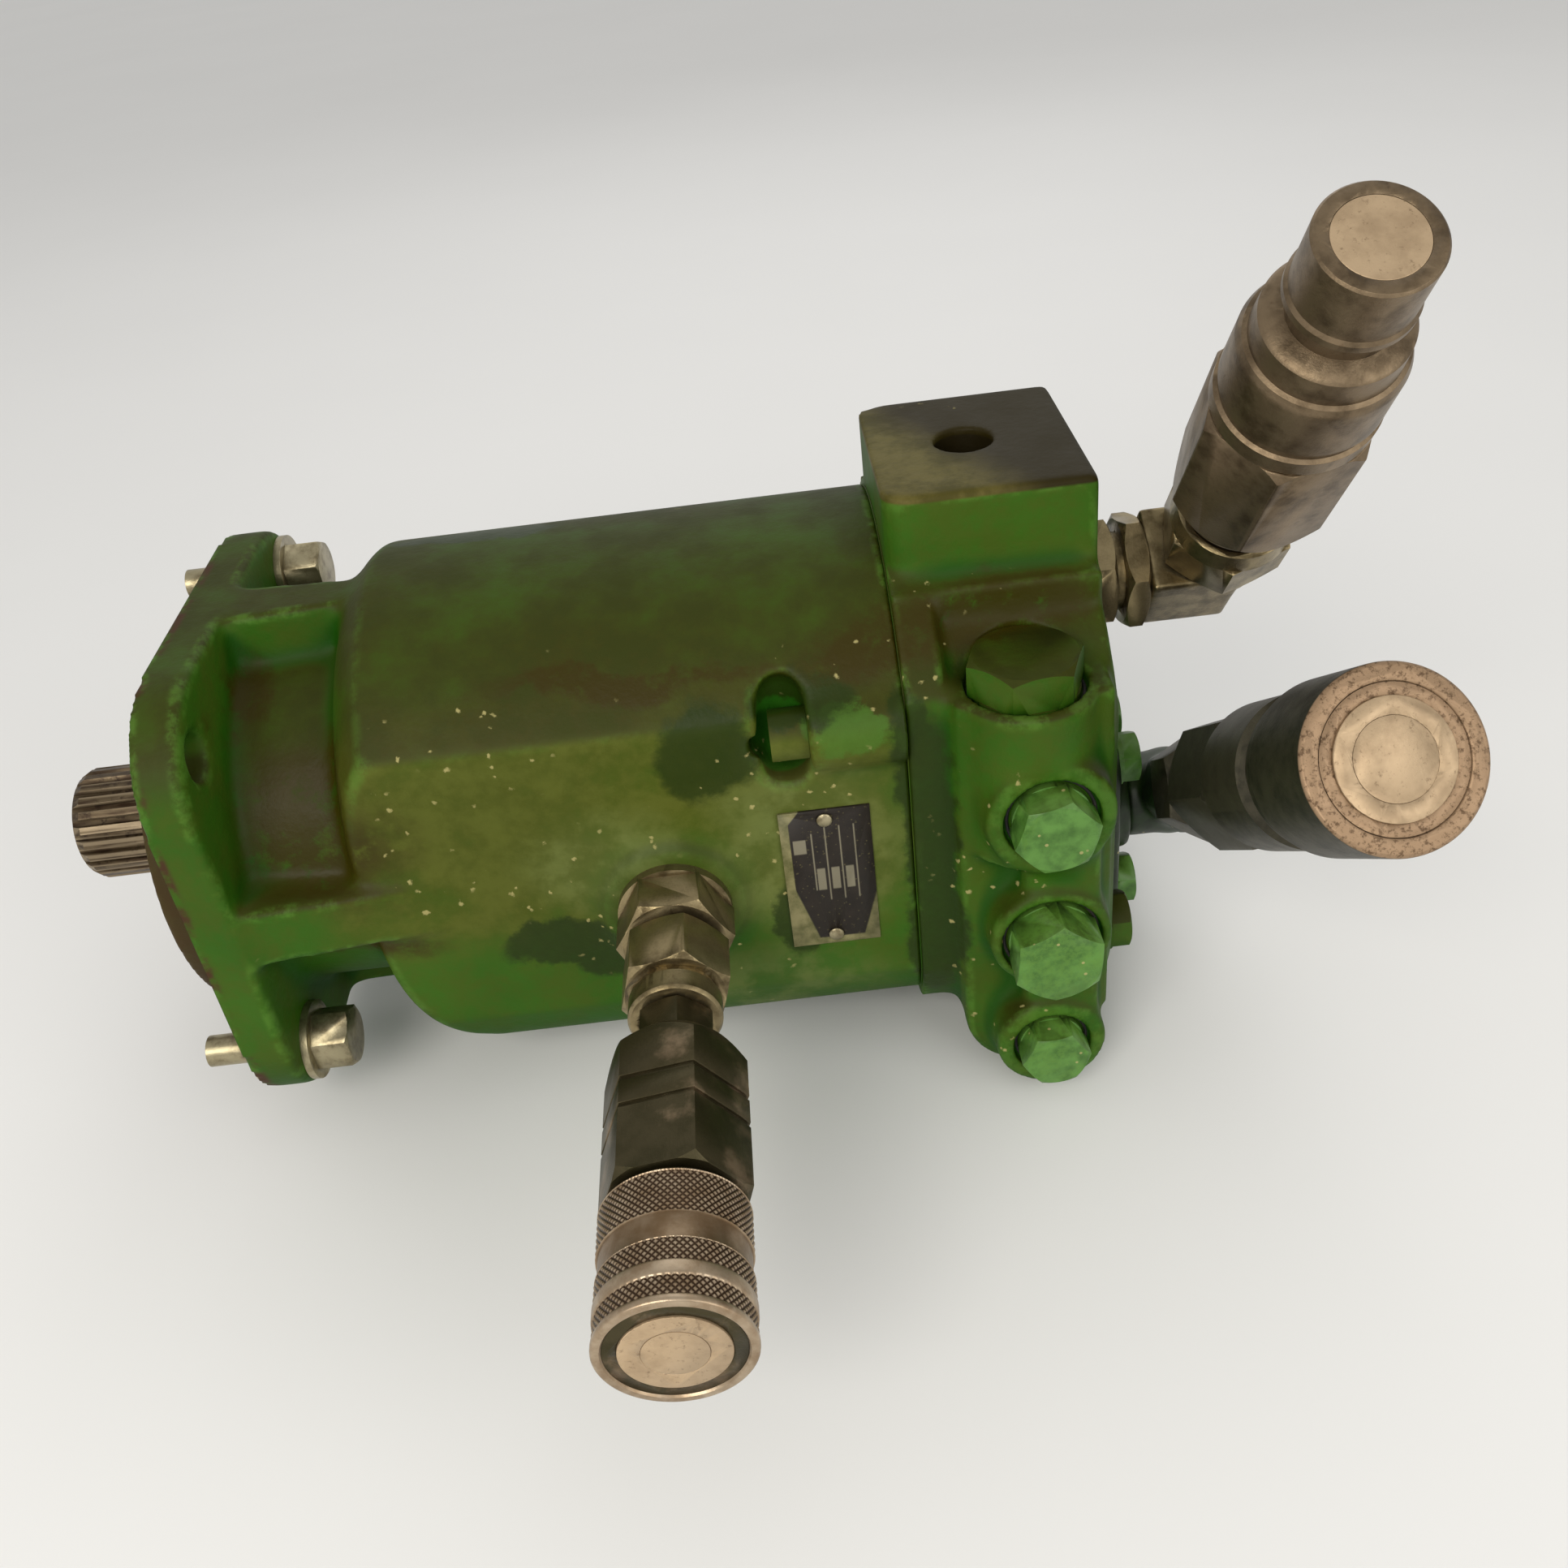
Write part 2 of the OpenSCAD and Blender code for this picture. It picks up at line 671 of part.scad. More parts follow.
plate_c = [190, -8.3];
plate_w = 27.5;
plate_h = 52.4;
module nameplate() {
    color([0.06, 0.06, 0.07]) translate([plate_c[0], -flat_y, plate_c[1]]) rotate([90, 0, 0]) difference() {
        translate([-plate_w / 2, -plate_h / 2, 0]) cube([plate_w, plate_h, 0.8]);
        for (s = [-1, 1]) translate([0, s * 22.5, -1]) cylinder(h = 3, r = 1.55);
    }
}

module nameplate_pins() {
    color([0.75, 0.74, 0.70]) for (s = [-1, 1])
        translate([plate_c[0], -flat_y, plate_c[1] + s * 22.5]) rotate([90, 0, 0]) {
            cylinder(h = 1, r = 1.5);
            translate([0, 0, 0.8]) intersection() {
                cylinder(h = 2, r = 2.4);
                translate([0, 0, -3]) sphere(4.2);
            }
        }
}

// The two bolts that are left in the flange, in the upper rear and lower front holes
module at_bolts() {
    for (s = [-1, 1]) translate([0, s * hole_at, s * hole_at]) rotate([0, 90, 0]) children();
}

module flange_bolts() {
    color([0.70, 0.68, 0.63]) at_bolts() {
        translate([0, 0, -20]) cylinder(h = 13, r = 5.2);
        translate([0, 0, -7 - eps]) cylinder(h = flange_t + 7 + 2 * eps, r = 6);
        translate([0, 0, flange_t]) cylinder(h = 2.4, r = 13);
        translate([0, 0, flange_t + 2.3]) hex_head(18, 12, low = false);
    }
}

module flange_washers() {
    color([0.66, 0.65, 0.60]) at_bolts() tube(12, 6 + gap, -3.2, 0);
}

// ---- quick couplers ----

// Flat-face socket parts, drawn with the face at z = 0 and the body below it.
// r is the sleeve's outer radius and f the radii of the ring edges on the face.
module socket_ring(f, l) {
    difference() {
        translate([0, 0, -l]) cylinder(h = l, r = f[1] - 0.06);
        translate([0, 0, -l - 1]) cylinder(h = l + 2, r = f[2] + 0.06);
    }
}

module socket_probe(f, l) {
    stem = f[2] * 0.55;
    translate([0, 0, -6]) cylinder(h = 6, r = f[2]);
    translate([0, 0, -10]) cylinder(h = 4 + eps, r1 = stem, r2 = f[2]);
    translate([0, 0, -l]) cylinder(h = l - 9, r = stem);
    translate([0, 0, -l]) difference() {
        cylinder(h = 3, r = f[1] - 0.05);
        for (i = [0:5]) rotate(i * 60) translate([f[2] * 1.08, 0, -1]) cylinder(h = 5, r = f[2] * 0.28);
    }
}

drain_f = [16.4, 13.1, 7.8];
pressure_f = [18.9, 15.7, 10.7];
ring_l = 14;

module drain_adapter() {
    color([0.62, 0.60, 0.55]) at_drain() translate([0, 0, drain_boss_y - drain_face]) difference() {
        union() {
            translate([0, 0, -12]) cylinder(h = 12 + eps, r = drain_thread_r - gap);
            cylinder(h = 3, r = 17.5);
            translate([0, 0, 2.9]) hex_head(31, 14, low = false);
            translate([0, 0, 16]) cylinder(h = 14, r = 10);
        }
        translate([0, 0, -13]) cylinder(h = 50, r = 6);
    }
}

module drain_swivel_nut() {
    color([0.66, 0.64, 0.58]) at_drain() difference() {
        union() {
            translate([0, 0, -131.5]) rotate(14) hex_head(29, 18.5);
            translate([0, 0, -113.1]) cylinder(h = 2.2, r = 12);
            rotate_extrude() polygon([[0, -111], [12.2, -111], [13.4, -110], [13.4, -104], [12.6, -103],
                [0, -103]]);
        }
        translate([0, 0, -132]) cylinder(h = 10.5, r = 10 + gap);
        translate([0, 0, -122]) cylinder(h = 30, r = 9.2);
    }
}

module drain_coupler_body() {
    rc = 34 / sqrt(3);
    color([0.45, 0.40, 0.34]) at_drain() difference() {
        union() {
            translate([0, 0, -15]) cylinder(h = 14.5, r = drain_f[0]);
            translate([0, 0, -40]) cylinder(h = 26, r = drain_f[0] - 1.6);
            intersection() {
                translate([0, 0, -90]) rotate(8) hex(34.4, 50.5);
                rotate_extrude() polygon([[0, -90], [13.5, -90], [rc + 0.6, -82], [rc + 0.6, -41.5],
                    [rc - 1.6, -39.5], [0, -39.5]]);
            }
        }
        for (z = [-61, -70]) translate([0, 0, z]) rotate(8) difference() {
            cylinder(h = 1.6, r = 30);
            translate([0, 0, -1]) hex(33, 4);
        }
        translate([0, 0, -47]) cylinder(h = 50, r = drain_f[1]);
        translate([0, 0, -120]) cylinder(h = 80, r = 6.5);
    }
    color([0.50, 0.45, 0.38]) at_drain() difference() {
        union() {
            translate([0, 0, -102.4]) rotate(20) hex_head(20, 12.5, high = false);
            translate([0, 0, -121]) cylinder(h = 18.7, r = 9.1);
        }
        translate([0, 0, -125]) cylinder(h = 40, r = 6.5);
    }
}

// Knurled sleeve, with smooth bands between the knurled ones
module drain_sleeve() {
    r = drain_r;
    color([0.62, 0.60, 0.56]) at_drain() difference() {
        rotate_extrude() polygon([[0, -36.5], [r - 0.9, -36.5], [r - 0.2, -35.8], [r - 0.2, -24.2],
            [r - 0.8, -23.8], [r - 0.8, -17.4], [r - 0.2, -17], [r - 0.2, -11], [r, -10.6], [r, -7.6],
            [r - 0.2, -7.2], [r - 0.2, -2.2], [r, -1.8], [r, -0.6], [r - 0.6, 0], [0, 0]]);
        translate([0, 0, -40]) cylinder(h = 50, r = drain_f[0] + 0.08);
    }
}

module drain_valve_ring() { color([0.66, 0.60, 0.50]) at_drain() socket_ring(drain_f, ring_l); }
module drain_probe() { color([0.72, 0.68, 0.58]) at_drain() socket_probe(drain_f, 46.5); }
module drain_springs() {
    color([0.4, 0.4, 0.4]) at_drain() translate([0, 0, -42]) coil_spring(11.2, 0.9, 27, 6);
}

// ---- return line ----

module return_adapter() {
    color([0.62, 0.60, 0.54]) translate([cap_end, 0, return_z]) rotate([0, 90, 0]) difference() {
        union() {
            translate([0, 0, -20]) cylinder(h = 20 + eps, r = 13.2 - gap);
            cylinder(h = 2.5, r = 16.4);
            translate([0, 0, 2.4]) hex_head(32, 9, low = false);
            translate([0, 0, 11]) cylinder(h = 3.5, r = 12.4);
            translate([0, 0, 14.4]) rotate(15) hex_head(33, 7);
        }
        translate([0, 0, -21]) cylinder(h = 50, r = 8);
    }
}

module return_elbow() {
    x0 = cap_end + 21.4;
    color([0.60, 0.57, 0.50]) difference() {
        union() {
            translate([x0, 0, return_z]) rotate([0, 90, 0]) rotate([0, 0, 90 - return_elev])
                translate([-14, -14, 0]) cube([28, 28, 28]);
            at_return() cylinder(h = 14.9, r = 13.4);
            at_return() translate([0, 0, 14.8]) cylinder(h = 15.2, r = 11);
            x_cyl(x0 + 20, x0 + 33, 13.4, [0, return_z], r2 = 10);
        }
        x_cyl(x0 - 1, return_x + 2, 7.5, [0, return_z]);
        at_return() translate([0, 0, -3]) cylinder(h = 50, r = 8);
    }
}

module return_swivel_nut() {
    color([0.64, 0.60, 0.52]) at_return() difference() {
        union() {
            translate([0, 0, 15]) rotate(20) hex_head(34, 15, high = false);
            translate([0, 0, 29.9]) cylinder(h = 7, r1 = 18.2, r2 = 17.4);
        }
        translate([0, 0, 14]) cylinder(h = 40, r = 11 + gap);
        translate([0, 0, 32]) cylinder(h = 10, r = 15.4);
    }
}

module return_coupler_body() {
    l = return_l;
    color([0.40, 0.36, 0.30]) at_return() difference() {
        union() {
            rotate_extrude() polygon([[0, 32], [14, 32], [14.6, 42], [0, 42]]);
            intersection() {
                translate([0, 0, 42 - eps]) rotate(10) hex(41.5, l - 42 - 66);
                rotate_extrude() polygon([[0, 42 - eps], [17.5, 42 - eps], [23.8, 54], [23.8, l - 68],
                    [22, l - 66], [0, l - 66]]);
            }
            rotate_extrude() polygon([[0, l - 66 - eps], [21.2, l - 66 - eps], [21.8, l - 65], [21.8, l - 60],
                [20.6, l - 59.4], [20.6, l - 57], [21.4, l - 56.4], [21.2, l - 40], [20.2, l - 37.5],
                [19, l - 37], [18.6, l - 29.5], [17.6, l - 28.5], [13.2, l - 27], [13.2, l - 21],
                [15.8, l - 20], [15.8, l - 18], [nose_r, l - 17], [nose_r, l - 0.6], [nose_r - 0.6, l],
                [0, l]]);
        }
        translate([0, 0, l - 30]) cylinder(h = 40, r = 11);
        translate([0, 0, l - 60]) cylinder(h = 31, r = 9.5);
        translate([0, 0, 30]) cylinder(h = l - 80, r = 8);
    }
}

module return_poppet() {
    l = return_l;
    color([0.62, 0.54, 0.42]) at_return() {
        translate([0, 0, l - 9.2]) cylinder(h = 9.2, r = 11 - 0.06);
        translate([0, 0, l - 34]) cylinder(h = 25, r = 4);
        translate([0, 0, l - 37]) cylinder(h = 3 + eps, r = 3.4);
    }
}

module return_spring() {
    color([0.4, 0.4, 0.4]) at_return() translate([0, 0, return_l - 28.6]) coil_spring(8, 1, 17.8, 5);
}

// ---- pressure line ----

module pressure_flange() {
    t = pressure_flange_t;
    color([0.10, 0.20, 0.11]) translate([cap_end, 0, pressure_z]) rotate([0, 90, 0]) difference() {
        union() {
            translate([-26.2, -27, 0]) cube([52.4, 54, t]);
            translate([-35, -13.1, 0]) cube([70, 26.2, t]);
            for (y = [-1, 1], z = [-1, 1]) translate([z * 23, y * 14, 0]) cylinder(h = t, r = 13);
            cylinder(h = t + 6, r = 18);
        }
        translate([0, 0, -1]) cylinder(h = 40, r = 10);
        for (y = [-1, 1], z = [-1, 1])
            translate([z * 26.2, y * 13.1, -1]) cylinder(h = 40, r = 5.4);
    }
}

module pressure_flange_screws() {
    t = pressure_flange_t;
    color([0.22, 0.45, 0.20]) for (y = [-1, 1], z = [-1, 1])
        translate([cap_end, y * 13.1, pressure_z + z * 26.2]) rotate([0, 90, 0]) {
            translate([0, 0, -12.5]) cylinder(h = t + 13.5, r = 5);
            translate([0, 0, t]) cylinder(h = 1.6, r = 9.2);
            translate([0, 0, t + 1.5]) hex_head(16, 6, low = false);
        }
}

module pressure_elbow() {
    start = cap_end + pressure_flange_t + 6;
    color([0.12, 0.22, 0.13]) difference() {
        union() {
            x_cyl(start, pressure_x, 14.5, [0, pressure_z]);
            translate([pressure_x, 0, pressure_z]) sphere(15.5);
            at_pressure() cylinder(h = 22, r = 13.5);
            at_pressure() translate([0, 0, 16]) rotate(12) hex_head(28, 12);
            at_pressure() translate([0, 0, 28 - eps]) cylinder(h = 6, r = 12);
        }
        x_cyl(start - 1, pressure_x + 5, 8, [0, pressure_z]);
        at_pressure() cylinder(h = 60, r = 7.2);
    }
}

module pressure_coupler_body() {
    l = pressure_l;
    color([0.26, 0.28, 0.24]) at_pressure() difference() {
        union() {
            translate([0, 0, 34 - eps]) rotate(25) hex_head(33, 16);
            translate([0, 0, 50 - eps]) cylinder(h = 6, r = 14.5);
            intersection() {
                translate([0, 0, 55]) rotate(6) hex(38.5, 38);
                rotate_extrude() polygon([[0, 55], [16, 55], [22.3, 64], [22.3, 90], [21, 93], [0, 93]]);
            }
            rotate_extrude() polygon([[0, 93 - eps], [20.5, 93 - eps], [22, 95], [22, l - 46],
                [20, l - 44], [pressure_f[0], l - 44], [pressure_f[0], l - 0.5], [0, l - 0.5]]);
        }
        translate([0, 0, l - 50]) cylinder(h = 60, r = pressure_f[1]);
        translate([0, 0, 30]) cylinder(h = l - 70, r = 8);
    }
}

module pressure_sleeve() {
    r = pressure_r;
    ri = pressure_f[0] + 0.08;
    color([0.16, 0.17, 0.15]) at_pressure() translate([0, 0, pressure_l]) rotate_extrude()
        polygon([[ri, -38], [r - 2.4, -38], [r - 1.4, -37], [r - 1.4, -32.4], [r - 0.6, -31.6], [r, -31],
            [r, -0.8], [r - 0.8, 0], [ri + 0.5, 0], [ri, -0.5]]);
}

module pressure_valve_ring() {
    color([0.62, 0.54, 0.46]) at_pressure() translate([0, 0, pressure_l]) socket_ring(pressure_f, ring_l);
}
module pressure_probe() {
    color([0.64, 0.56, 0.48]) at_pressure() translate([0, 0, pressure_l]) socket_probe(pressure_f, 49.9);
}
module pressure_springs() {
    color([0.4, 0.4, 0.4]) at_pressure() translate([0, 0, pressure_l - 45.5]) coil_spring(13.4, 1.1, 30, 6);
}

housing();
end_cap();
cap_gasket();
cap_screws();
drive_shaft();
front_bearing_outer_race();
front_bearing_inner_race();
front_bearing_rollers();
rear_bearing_shell();
rear_bearing_needles();
seal_carrier();
shaft_seal();
retaining_ring();
swashplate();
cylinder_block();
pistons();
slippers();
slipper_retainer();
ball_guide();
block_spring();
valve_plate();
shuttle_spool();
shuttle_spring();
relief_poppet();
relief_spring();
top_plug();
gauge_plug();
shuttle_plug();
relief_plug();
plug_seals();
rear_drain_plug();
nameplate();
nameplate_pins();
flange_bolts();
flange_washers();
drain_adapter();
drain_swivel_nut();
drain_coupler_body();
drain_sleeve();
drain_valve_ring();
drain_probe();
drain_springs();
return_adapter();
return_elbow();
return_swivel_nut();
return_coupler_body();
return_poppet();
return_spring();
pressure_flange();
pressure_flange_screws();
pressure_elbow();
pressure_coupler_body();
pressure_sleeve();
pressure_valve_ring();
pressure_probe();
pressure_springs();
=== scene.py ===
import json
import math

import bmesh
import bpy
import numpy as np
from mathutils import Matrix, Vector


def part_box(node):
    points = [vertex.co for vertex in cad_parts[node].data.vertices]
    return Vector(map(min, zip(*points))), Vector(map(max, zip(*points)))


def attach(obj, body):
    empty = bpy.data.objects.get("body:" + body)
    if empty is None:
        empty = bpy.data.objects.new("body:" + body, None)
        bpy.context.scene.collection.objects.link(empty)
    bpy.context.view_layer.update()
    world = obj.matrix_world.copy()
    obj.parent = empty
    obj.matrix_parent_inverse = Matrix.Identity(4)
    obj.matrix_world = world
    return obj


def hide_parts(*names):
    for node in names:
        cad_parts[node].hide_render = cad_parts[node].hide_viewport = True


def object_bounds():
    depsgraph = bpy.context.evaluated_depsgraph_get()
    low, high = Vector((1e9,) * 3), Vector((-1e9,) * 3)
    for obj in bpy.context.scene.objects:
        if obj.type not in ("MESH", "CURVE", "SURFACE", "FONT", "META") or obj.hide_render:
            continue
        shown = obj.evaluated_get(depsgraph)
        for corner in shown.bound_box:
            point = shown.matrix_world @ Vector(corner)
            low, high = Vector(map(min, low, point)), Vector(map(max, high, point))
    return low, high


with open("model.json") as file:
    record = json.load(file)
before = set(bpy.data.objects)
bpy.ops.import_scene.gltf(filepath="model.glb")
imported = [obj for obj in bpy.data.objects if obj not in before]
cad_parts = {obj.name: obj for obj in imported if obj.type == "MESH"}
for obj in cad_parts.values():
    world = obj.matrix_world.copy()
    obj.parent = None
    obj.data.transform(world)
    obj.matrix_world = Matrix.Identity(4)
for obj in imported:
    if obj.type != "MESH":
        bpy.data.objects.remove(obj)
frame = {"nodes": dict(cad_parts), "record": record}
CAD_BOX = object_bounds()

MM = 0.001


def box_mm(node_name):
    """The lowest and highest corners of a CAD node, in millimetres."""
    return [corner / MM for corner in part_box(node_name)]


def centre_mm(node_name):
    low, high = box_mm(node_name)
    return (low + high) / 2


# ---- camera ----

CAMERA_AT = Vector((0.1839, -0.4127, 0.2767))
CAMERA_TURN = math.radians(0.83)
CAMERA_DOWN = math.radians(34.6)
CAMERA_ROLL = math.radians(7.3)
CAMERA_LENS = 33.57
CAMERA_SHIFT = (0.0032, -0.0145)


def add_camera():
    """The camera stands in front of the motor, looks down at it and leans to its left."""
    ahead = Vector((-math.sin(CAMERA_TURN), math.cos(CAMERA_TURN), 0)) * math.cos(CAMERA_DOWN)
    ahead.z = -math.sin(CAMERA_DOWN)
    level = Vector((math.cos(CAMERA_TURN), math.sin(CAMERA_TURN), 0))
    upright = level.cross(ahead)
    right = level * math.cos(CAMERA_ROLL) - upright * math.sin(CAMERA_ROLL)
    up = level * math.sin(CAMERA_ROLL) + upright * math.cos(CAMERA_ROLL)
    data = bpy.data.cameras.new("camera")
    data.lens = CAMERA_LENS
    data.sensor_width = 36
    data.shift_x, data.shift_y = CAMERA_SHIFT
    camera = bpy.data.objects.new("camera", data)
    bpy.context.scene.collection.objects.link(camera)
    turned = Matrix((right, up, -ahead)).transposed().to_4x4()
    camera.matrix_world = Matrix.Translation(CAMERA_AT) @ turned
    bpy.context.scene.camera = camera


add_camera()

# ---- colours and shader graphs ----


def rgb(red, green, blue):
    """A colour given as seen on a screen, 0 to 255 a channel, as the linear colour that shaders use."""
    channels = [c / 255 for c in (red, green, blue)]
    return tuple(c / 12.92 if c <= 0.04045 else ((c + 0.055) / 1.055) ** 2.4 for c in channels) + (1.0,)


# Every finished material under its own name, which Blender may have changed on the material itself
MATERIALS = {}


class Graph:
    """The node graph of one material, built with short calls."""

    def __init__(self, name):
        self.name = name
        self.material = bpy.data.materials.new(name)
        self.material.use_nodes = True
        self.tree = self.material.node_tree
        self.shader = self.tree.nodes["Principled BSDF"]
        self.place = self.node("ShaderNodeTexCoord").outputs["Object"]
        self.geometry = self.node("ShaderNodeNewGeometry")
        axes = self.node("ShaderNodeSeparateXYZ")
        self.put(axes.inputs[0], self.place)
        self.x, self.y, self.z = axes.outputs
        facing = self.node("ShaderNodeSeparateXYZ")
        self.put(facing.inputs[0], self.geometry.outputs["Normal"])
        self.facing_z = facing.outputs[2]

    def node(self, kind, **settings):
        node = self.tree.nodes.new(kind)
        for name, value in settings.items():
            setattr(node, name, value)
        return node

    def put(self, socket, value):
        if isinstance(value, bpy.types.NodeSocket):
            self.tree.links.new(value, socket)
        else:
            socket.default_value = value

    def math(self, operation, *values):
        node = self.node("ShaderNodeMath", operation=operation)
        for socket, value in zip(node.inputs, values):
            self.put(socket, value)
        return node.outputs[0]

    def times(self, *values):
        product = values[0]
        for value in values[1:]:
            product = self.math("MULTIPLY", product, value)
        return product

    def plus(self, *values):
        total = values[0]
        for value in values[1:]:
            total = self.math("ADD", total, value)
        return total

    def most(self, *values):
        largest = values[0]
        for value in values[1:]:
            largest = self.math("MAXIMUM", largest, value)
        return largest

    def vector(self, operation, *values):
        node = self.node("ShaderNodeVectorMath", operation=operation)
        for socket, value in zip(node.inputs, values):
            self.put(socket, value)
        return node.outputs["Value"] if operation in ("LENGTH", "DOT_PRODUCT") else node.outputs["Vector"]

    def noise(self, size, detail=4, rough=0.55, place=None, colour=False):
        """Noise whose lumps are about size millimetres across."""
        node = self.node("ShaderNodeTexNoise")
        self.put(node.inputs["Vector"], place or self.place)
        node.inputs["Scale"].default_value = 1 / (size * MM)
        node.inputs["Detail"].default_value = detail
        node.inputs["Roughness"].default_value = rough
        return node.outputs["Color" if colour else "Fac"]

    def cells(self, size, place=None):
        """Cells about size millimetres wide: the distance to each one's middle, and a number of its own."""
        node = self.node("ShaderNodeTexVoronoi")
        self.put(node.inputs["Vector"], place or self.place)
        node.inputs["Scale"].default_value = 1 / (size * MM)
        return node.outputs["Distance"], node.outputs["Color"]

    def chosen(self, number, spin, low, high):
        """1 in a share of the cells and 0 in the others; number is each cell's own."""
        return self.step(self.math("FRACT", self.times(number, spin)), low, high)

    def step(self, value, low, high):
        """0 below low and 1 above high, or the other way round where low is above high."""
        node = self.node("ShaderNodeMapRange", interpolation_type="SMOOTHSTEP")
        self.put(node.inputs["Value"], value)
        node.inputs["From Min"].default_value = min(low, high)
        node.inputs["From Max"].default_value = max(low, high)
        node.inputs["To Min"].default_value = 0.0 if low < high else 1.0
        node.inputs["To Max"].default_value = 1.0 if low < high else 0.0
        return node.outputs["Result"]

    def spread(self, value, low, high):
        """value from 0..1 stretched to low..high."""
        node = self.node("ShaderNodeMapRange")
        self.put(node.inputs["Value"], value)
        node.inputs["To Min"].default_value = low
        node.inputs["To Max"].default_value = high
        return node.outputs["Result"]

    def mix(self, share, first, second):
        """first where share is 0 and second where it is 1."""
        node = self.node("ShaderNodeMix", data_type="RGBA")
        self.put(node.inputs[0], share)
        self.put(node.inputs[6], first)
        self.put(node.inputs[7], second)
        return node.outputs[2]

    def warped(self, amount, size, detail=5):
        """The place, pushed about by noise, by amount millimetres."""
        shifted = self.vector("SUBTRACT", self.noise(size, detail, 0.68, colour=True), (0.5, 0.5, 0.5))
        return self.vector("ADD", self.place, self.vector("MULTIPLY", shifted, (amount * 2 * MM,) * 3))

    def patch(self, place, centre, reach, soft=0.12):
        """1 inside an oval patch and 0 outside; centre and reach are in millimetres along X, Y and Z."""
        away = self.vector("SUBTRACT", place, tuple(c * MM for c in centre))
        scaled = self.vector("DIVIDE", away, tuple(r * MM for r in reach))
        return self.step(self.vector("LENGTH", scaled), 1 + soft, 1 - soft)

    def window(self, value, low, high, soft):
        """1 where value is from low to high, all in millimetres."""
        return self.times(self.step(value, (low - soft) * MM, (low + soft) * MM),
                          self.step(value, (high + soft) * MM, (high - soft) * MM))

    def attribute(self, name):
        return self.node("ShaderNodeAttribute", attribute_name=name).outputs["Fac"]

    def pointiness(self, low, high):
        """1 at sharp edges where low is below high, and 1 in corners and joints where it is above."""
        return self.step(self.geometry.outputs["Pointiness"], low, high)

    def bump(self, height, depth):
        """A normal from height, which is in units of depth millimetres."""
        node = self.node("ShaderNodeBump")
        node.inputs["Distance"].default_value = depth * MM
        self.put(node.inputs["Height"], height)
        return node.outputs["Normal"]

    def finish(self, colour, roughness, normal=None, **constants):
        """Sets the shader's inputs; constants are named as its sockets, with _ for a space."""
        self.put(self.shader.inputs["Base Color"], colour)
        self.put(self.shader.inputs["Roughness"], roughness)
        if normal:
            self.put(self.shader.inputs["Normal"], normal)
        for name, value in constants.items():
            self.shader.inputs[name.replace("_", " ")].default_value = value
        MATERIALS[self.name] = self.material
        return self.material


# ---- paint on castings ----

GREEN = rgb(52, 90, 14)
DEEP_GREEN = rgb(18, 68, 2)
LIGHT_GREEN = rgb(84, 126, 44)
OLIVE = rgb(74, 70, 16)
TOP_OLIVE = rgb(52, 49, 6)
HAZE = rgb(114, 126, 72)
DARK_OIL = rgb(32, 46, 6)
BROWN_OIL = rgb(50, 42, 3)
RUST = rgb(64, 42, 24)
SPECK = rgb(170, 160, 104)

# Stains, films, crowds of pale specks, a painted highlight on a screw boss and painted shade in the block's
# port hole: centre and reach in millimetres along X, Y and Z
GREEN_POOLS = [
    ((221, -60, 4), (9, 34, 44)),
    ((222, -66, -36), (9, 26, 26)),
    ((158, -66, 41), (15, 20, 15)),
    ((216, -62, 42), (7, 14, 13)),
    ((186, -60, 55), (16, 18, 7)),
    ((104, -66, -22), (19, 18, 8)),
    ((119, -66, -31), (11, 18, 8)),
    ((178, -66, -24), (8, 14, 16)),
    ((236, -50, 46), (20, 16, 10)),
    ((116, 60, 20), (24, 22, 14)),
    ((180, 66, -16), (14, 20, 26)),
    ((90, 20, 80), (26, 8, 12)),
]
BROWN_STREAKS = [
    ((208, -50, 63), (24, 18, 6)),
    ((243, -44, 66), (42, 12, 9)),
    ((58, -44, 44), (17, 14, 10)),
    ((44, -50, 22), (32, 20, 26)),
    ((44, -58, -16), (26, 14, 6)),
    ((20, -30, 57), (6, 22, 9)),
    ((140, -52, 62), (40, 8, 3)),
    ((196, 40, 70), (24, 14, 8)),
    ((58, 30, 70), (22, 18, 6)),
]
HAZE_PATCHES = [
    ((184, -65, 4), (26, 12, 32), 0.5),
    ((124, -65, 6), (22, 12, 16), 0.6),
    ((166, -65, -54), (34, 18, 16), 0.6),
]
CLEAN_POCKET = ((178, -50, 40), (19, 12, 16))
BOSS_HIGHLIGHT = ((199, -62, 45), (12, 12, 9))
BLOCK_HOLE = ((245, 0, 70), (9.9, 9.9, 90))
SPECK_CROWDS = [
    ((141, -66, -10), (40, 20, 30)),
    ((176, -66, 26), (34, 14, 18)),
    ((236, -84, -20), (20, 26, 60)),
    ((70, -60, 14), (14, 30, 20)),
    ((205, -56, 58), (30, 20, 9)),
    ((232, -38, 72), (26, 10, 6)),
    ((90, -62, 55), (26, 12, 10)),
]


